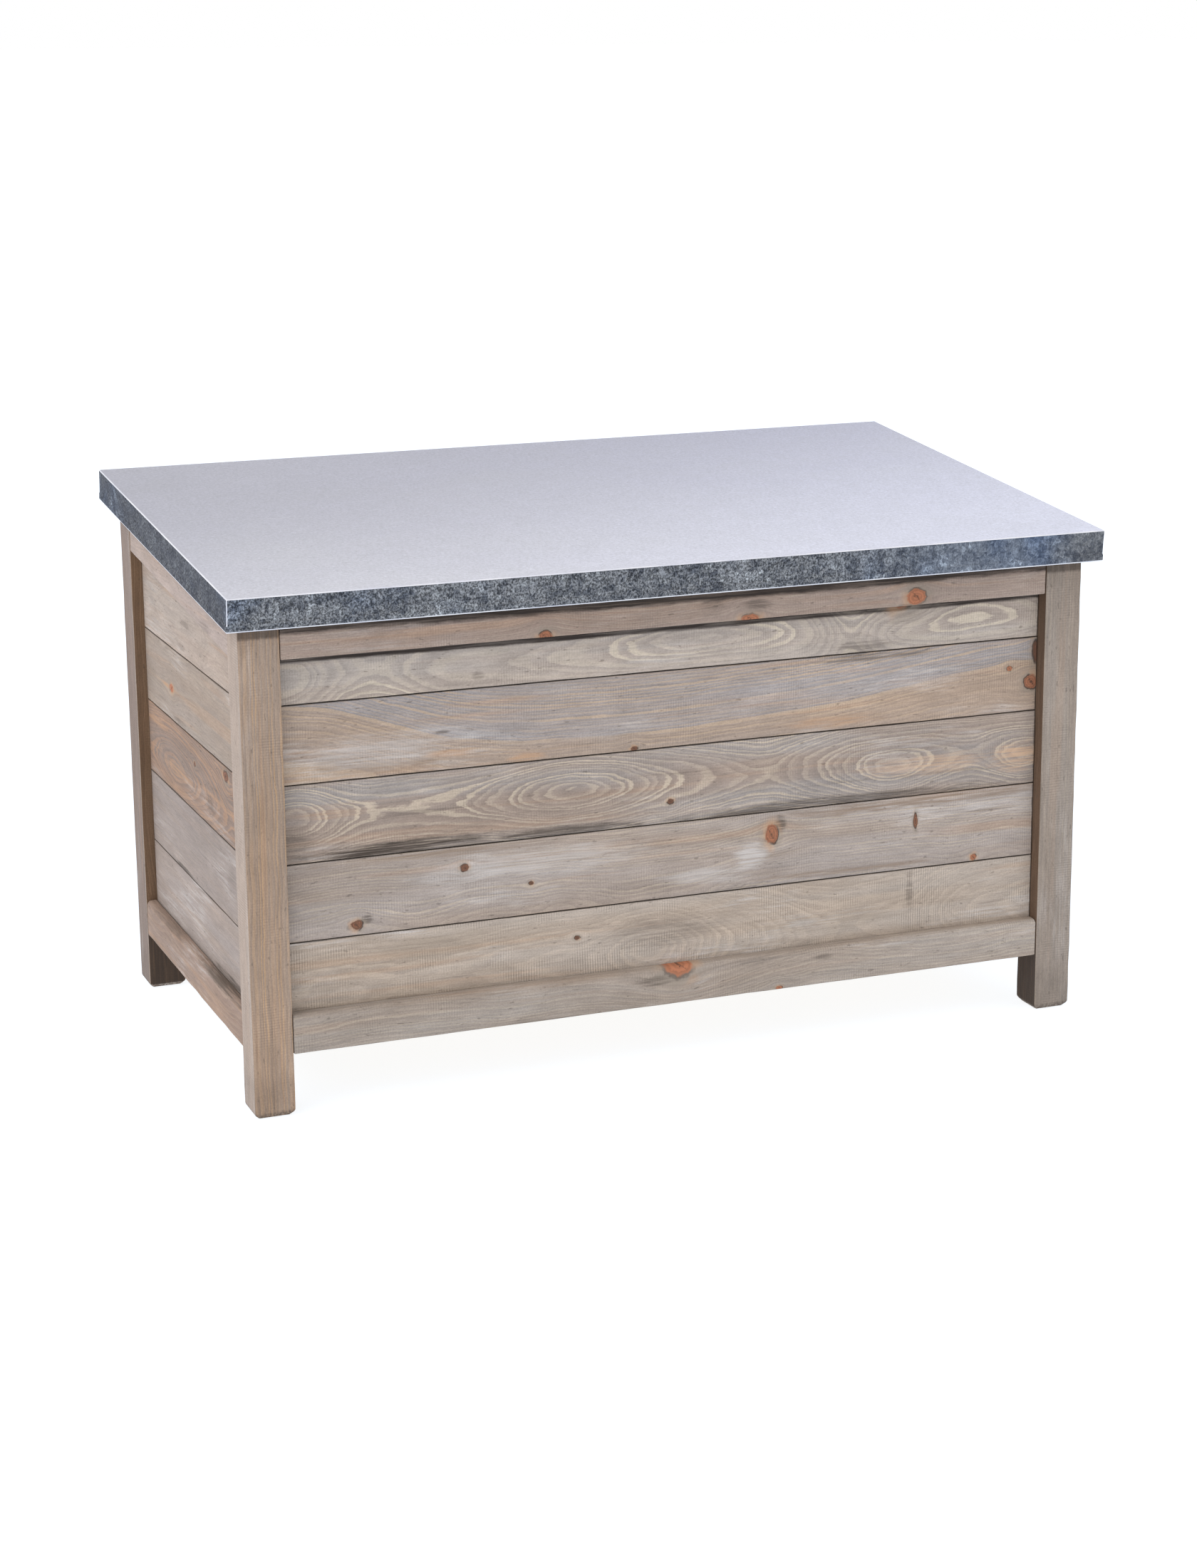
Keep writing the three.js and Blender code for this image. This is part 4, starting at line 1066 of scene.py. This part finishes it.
def make_cover():
    """The sheet as rings of vertices, from the middle of the top, over the fold and down the skirt, round
    the hem and up inside. A level is (inset from the hem's face, height, material)."""
    origin, along, normal, length, thick, width = lid_frame()
    levels = [(inset, thick, TOP) for inset in TOP_INSETS]
    # round the fold, the two middle levels carry the painted highlight
    for k, kind in enumerate((TOP, TOP, EDGE, EDGE, SKIRT)):
        angle = math.radians(90 * k / 4)
        inset = SKIRT_INSET + FOLD * (1 - math.sin(angle))
        levels.append((inset, thick - FOLD * (1 - math.cos(angle)), kind))
    levels += [(SKIRT_INSET, thick * 0.62, SKIRT), (SKIRT_INSET, thick * 0.4, SKIRT)]
    levels += HEM_LEVELS
    levels += [(INNER_INSET, thick - SHEET - 1.5 * MM, SKIRT), (3.5 * MM, thick - SHEET, SKIRT)]
    work = bmesh.new()
    rings = []
    for inset, height, _ in levels:
        ring = []
        for x, y in outline_points(width, length, inset, CORNER):
            edge = min(1.0, max(0.0, (inset - FOLD) / 0.05))
            dip = DISH * edge * (0.5 + 0.5 * noise.noise(Vector((x * 3.1, y * 3.7, 2.0))))
            wave = 0.0
            if FOLD < height < thick - FOLD and inset < 2.5 * MM:
                wave = WAVE * (0.5 + 0.5 * noise.noise(Vector((x * 5.0, y * 5.0, 9.0))))
            shrink = 1.0 - wave / (width / 2)
            lift = height - (dip if inset > FOLD else 0.0)
            ring.append(work.verts.new(origin + X * (x * shrink) + along * y + normal * lift))
        rings.append(ring)
    count = len(rings[0])
    arc = ARC_CUTS + 1
    block = [arc + SHORT_CUTS - 1, arc + LONG_CUTS - 1]
    starts = [0, block[0], block[0] + block[1], 2 * block[0] + block[1]]
    for (ring, after), (_, height, kind) in zip(zip(rings, rings[1:]), levels[1:]):
        for k in range(count):
            n = (k + 1) % count
            face = work.faces.new((ring[k], ring[n], after[n], after[k]))
            face.material_index = kind
            # the skirt's rounded corners carry the painted highlight too
            corner = any(s + 1 <= k < s + ARC_CUTS - 1 for s in starts)
            if corner and kind == SKIRT and height > 0.002:
                face.material_index = EDGE
    work.faces.new(rings[0]).material_index = TOP
    work.faces.new(list(reversed(rings[-1]))).material_index = SKIRT
    materials = [zinc_top_material(), zinc_skirt_material(), zinc_highlight_material()]
    piece = finish_mesh(work, "zinc_sheet_cover", materials)
    settle(piece, "zinc_cover")


# ---------------- metal fittings
def plated_material(name, color, metallic, rough):
    material, net, shader = new_material(name, metallic)
    place = net.place()
    brush = net.grain(place, (90.0, 90.0, 700.0), 3.0, 0.6)
    stain = net.noise(place, 45.0, 4.0, 0.6)
    tint = net.vary(color, stain, 0.3, 0.85)
    net.finish(shader, tint, net.madd(brush, 0.18, rough), brush, 0.08, 0.2 * MM)
    return material


FITTING_EDGE = 0.35 * MM
FITTING_SHARP = math.radians(35)


def dress_fittings():
    looks = {
        "zinc_plated_steel": plated_material("plated_steel", PLATED, 0.9, 0.28),
        "black_steel": plated_material("black_paint", BLACK, 0.0, 0.3),
        "chromed_rod": plated_material("hard_chrome", CHROME, 1.0, 0.08),
    }
    for row in frame["record"]["subparts"]:
        if row["material_slot"] in looks:
            item = frame["nodes"][row["node"]]
            item.data.materials.clear()
            item.data.materials.append(looks[row["material_slot"]])
            eased = item.modifiers.new("eased_edges", "BEVEL")
            eased.width = FITTING_EDGE
            eased.segments = 2
            eased.limit_method = "ANGLE"
            eased.angle_limit = FITTING_SHARP
    return looks["zinc_plated_steel"]


HEAD_RADIUS = 3.6 * MM
HEAD_RISE = 0.7 * MM
CROSS_LONG = 2.0 * MM
CROSS_HALF = 0.45 * MM
CROSS_DEEP = 1.1 * MM
HINGE_SCREW_STEP = 28 * MM
FIXED_SCREW_UP = (11 * MM, 7 * MM)  # the middle screw above the fixed leaf's foot, and the outer ones
MOVING_SCREW_OUT = (17 * MM, 14 * MM)  # the same from the pin, on the moving leaf
LEAF_FACE = 2 * MM  # the fixed leaf's face in front of its back
MOVING_LEAF_FACE = 3.2 * MM  # the moving leaf's face from the pin's middle
BRACKET_PLATE = 3 * MM
CHEST_SCREW_UP = 9 * MM
CHEST_SCREW_STEP = 13 * MM  # from the bracket's middle
LID_SCREW_STEP = 14 * MM
HINGE_TURNS = (0.7, 0.4)  # from one head to the next, on the chest and on the lid, in radians
STRUT_TURNS = (0.9, 1.3)


def add_screw(work, place, out, turn):
    """A raised countersunk head with a cross recess, at place, facing out."""
    side = out.orthogonal().normalized()
    side = Matrix.Rotation(turn, 3, out) @ side
    other = out.cross(side)

    def point(a, b, height):
        return work.verts.new(place + side * a + other * b + out * height)

    cross = []
    for quarter in range(4):
        c, s = math.cos(quarter * math.pi / 2), math.sin(quarter * math.pi / 2)
        for a, b in ((CROSS_HALF, -CROSS_HALF), (CROSS_LONG, -CROSS_HALF), (CROSS_LONG, CROSS_HALF)):
            cross.append((a * c - b * s, a * s + b * c))
    count = len(cross)
    angles = [math.atan2(b, a) for a, b in cross]
    floor = [point(a * 0.8, b * 0.8, HEAD_RISE - CROSS_DEEP) for a, b in cross]
    lip = [point(a, b, HEAD_RISE) for a, b in cross]

    def circle(radius, height):
        return [point(radius * math.cos(t), radius * math.sin(t), height) for t in angles]

    rise = circle(0.62 * HEAD_RADIUS, HEAD_RISE * 0.92)
    rim = circle(HEAD_RADIUS, 0.1 * MM)
    foot = circle(HEAD_RADIUS, -0.4 * MM)
    for a, b in ((floor, lip), (lip, rise), (rise, rim), (rim, foot)):
        for k in range(count):
            n = (k + 1) % count
            work.faces.new((a[k], b[k], b[n], a[n]))
    work.faces.new(floor)
    work.faces.new(list(reversed(foot)))


def hinge_screws(end):
    """For the chest and for the lid: (holes, outward direction, turn of one head to the next). A hole is
    (number, place)."""
    along, normal = lid_frame()[1:3]
    low, high = span_of(f"hinge_{end}_fixed_leaf")
    pin = middle_of(f"hinge_{end}_pin")
    fixed, moving = [], []
    for k in (-1, 0, 1):
        across = k * HINGE_SCREW_STEP
        above = low.z + FIXED_SCREW_UP[abs(k)]
        fixed.append((k, Vector(((low.x + high.x) / 2 + across, low.y + LEAF_FACE, above))))
        reach = MOVING_SCREW_OUT[abs(k)]
        moving.append((k, pin + X * across + along * reach + normal * MOVING_LEAF_FACE))
    return (fixed, Y, HINGE_TURNS[0]), (moving, -normal, HINGE_TURNS[1])


def bracket_screws(end, side):
    """The same for a strut's two brackets."""
    along = lid_frame()[1]
    found = []
    for part in ("chest", "lid"):
        low, high = span_of(f"strut_{end}_{part}_bracket")
        face = low.x + BRACKET_PLATE if side < 0 else high.x - BRACKET_PLATE
        middle = Vector((face, (low.y + high.y) / 2, (low.z + high.z) / 2))
        if part == "chest":
            middle.z = low.z + CHEST_SCREW_UP
            found.append([(k, middle + Y * (k * CHEST_SCREW_STEP)) for k in (-1, 1)])
        else:
            found.append([(k, middle + along * (k * LID_SCREW_STEP)) for k in (-1, 1)])
    return (found[0], X * -side, STRUT_TURNS[0]), (found[1], X * -side, STRUT_TURNS[1])


def make_screws(steel):
    for end, side in (("left", -1), ("right", 1)):
        sets = (("hinge", hinge_screws(end), side), ("strut", bracket_screws(end, side), 0))
        for fitting, holes_of_bodies, start in sets:
            for body, (holes, out, turn) in zip(("chest", "lid"), holes_of_bodies):
                work = bmesh.new()
                for k, spot in holes:
                    add_screw(work, spot, out, turn * k + start)
                piece = finish_mesh(work, f"{fitting}_{end}_{body}_screws", [steel])
                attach(piece, body)


# ---------------- stage
def make_stage():
    mesh = bpy.data.meshes.new("floor")
    half = FLOOR_SIZE / 2
    corners = [(-half, -half, 0), (half, -half, 0), (half, half, 0), (-half, half, 0)]
    mesh.from_pydata(corners, [], [(0, 1, 2, 3)])
    floor = add_object("floor", mesh)
    material, *_ = new_material("floor_paint", 0.0, **{
        "Base Color": (*FLOOR_PAINT, 1.0), "Emission Color": (1.0, 1.0, 1.0, 1.0),
        "Emission Strength": FLOOR_GLOW, "Roughness": 0.9, "Specular IOR Level": 0.0})
    mesh.materials.append(material)

    world = bpy.data.worlds.new("studio")
    world.use_nodes = True
    background = world.node_tree.nodes["Background"]
    background.inputs["Color"].default_value = (*SKY, 1.0)
    background.inputs["Strength"].default_value = SKY_STRENGTH
    bpy.context.scene.world = world

    light = bpy.data.lights.new("key", "SUN")
    light.energy = SUN_STRENGTH
    light.angle = SUN_ANGLE
    light.color = SUN_COLOR
    lamp = add_object("key", light)
    lamp.rotation_euler = SUN_FROM.to_track_quat("Z", "Y").to_euler()
    bpy.context.scene.view_settings.view_transform = "Standard"


def make_camera():
    camera = bpy.data.cameras.new("camera")
    camera.sensor_width = SENSOR
    camera.lens = LENS
    camera.clip_end = 100.0
    holder = add_object("camera", camera)
    level = Vector((math.sin(CAMERA_YAW), math.cos(CAMERA_YAW), 0.0))
    ahead = level * math.cos(CAMERA_DIP) - Z * math.sin(CAMERA_DIP)
    right = Vector((level.y, -level.x, 0.0))
    up = right.cross(ahead)
    rolled = right * math.cos(CAMERA_ROLL) + up * math.sin(CAMERA_ROLL)
    up = rolled.cross(ahead)
    turn = Matrix((rolled, up, -ahead)).transposed()
    holder.matrix_world = Matrix.Translation(CAMERA_PLACE) @ turn.to_4x4()
    bpy.context.scene.camera = holder


make_camera()
make_stage()
make_panels()
make_legs()
make_inside()
make_cover()
make_screws(dress_fittings())
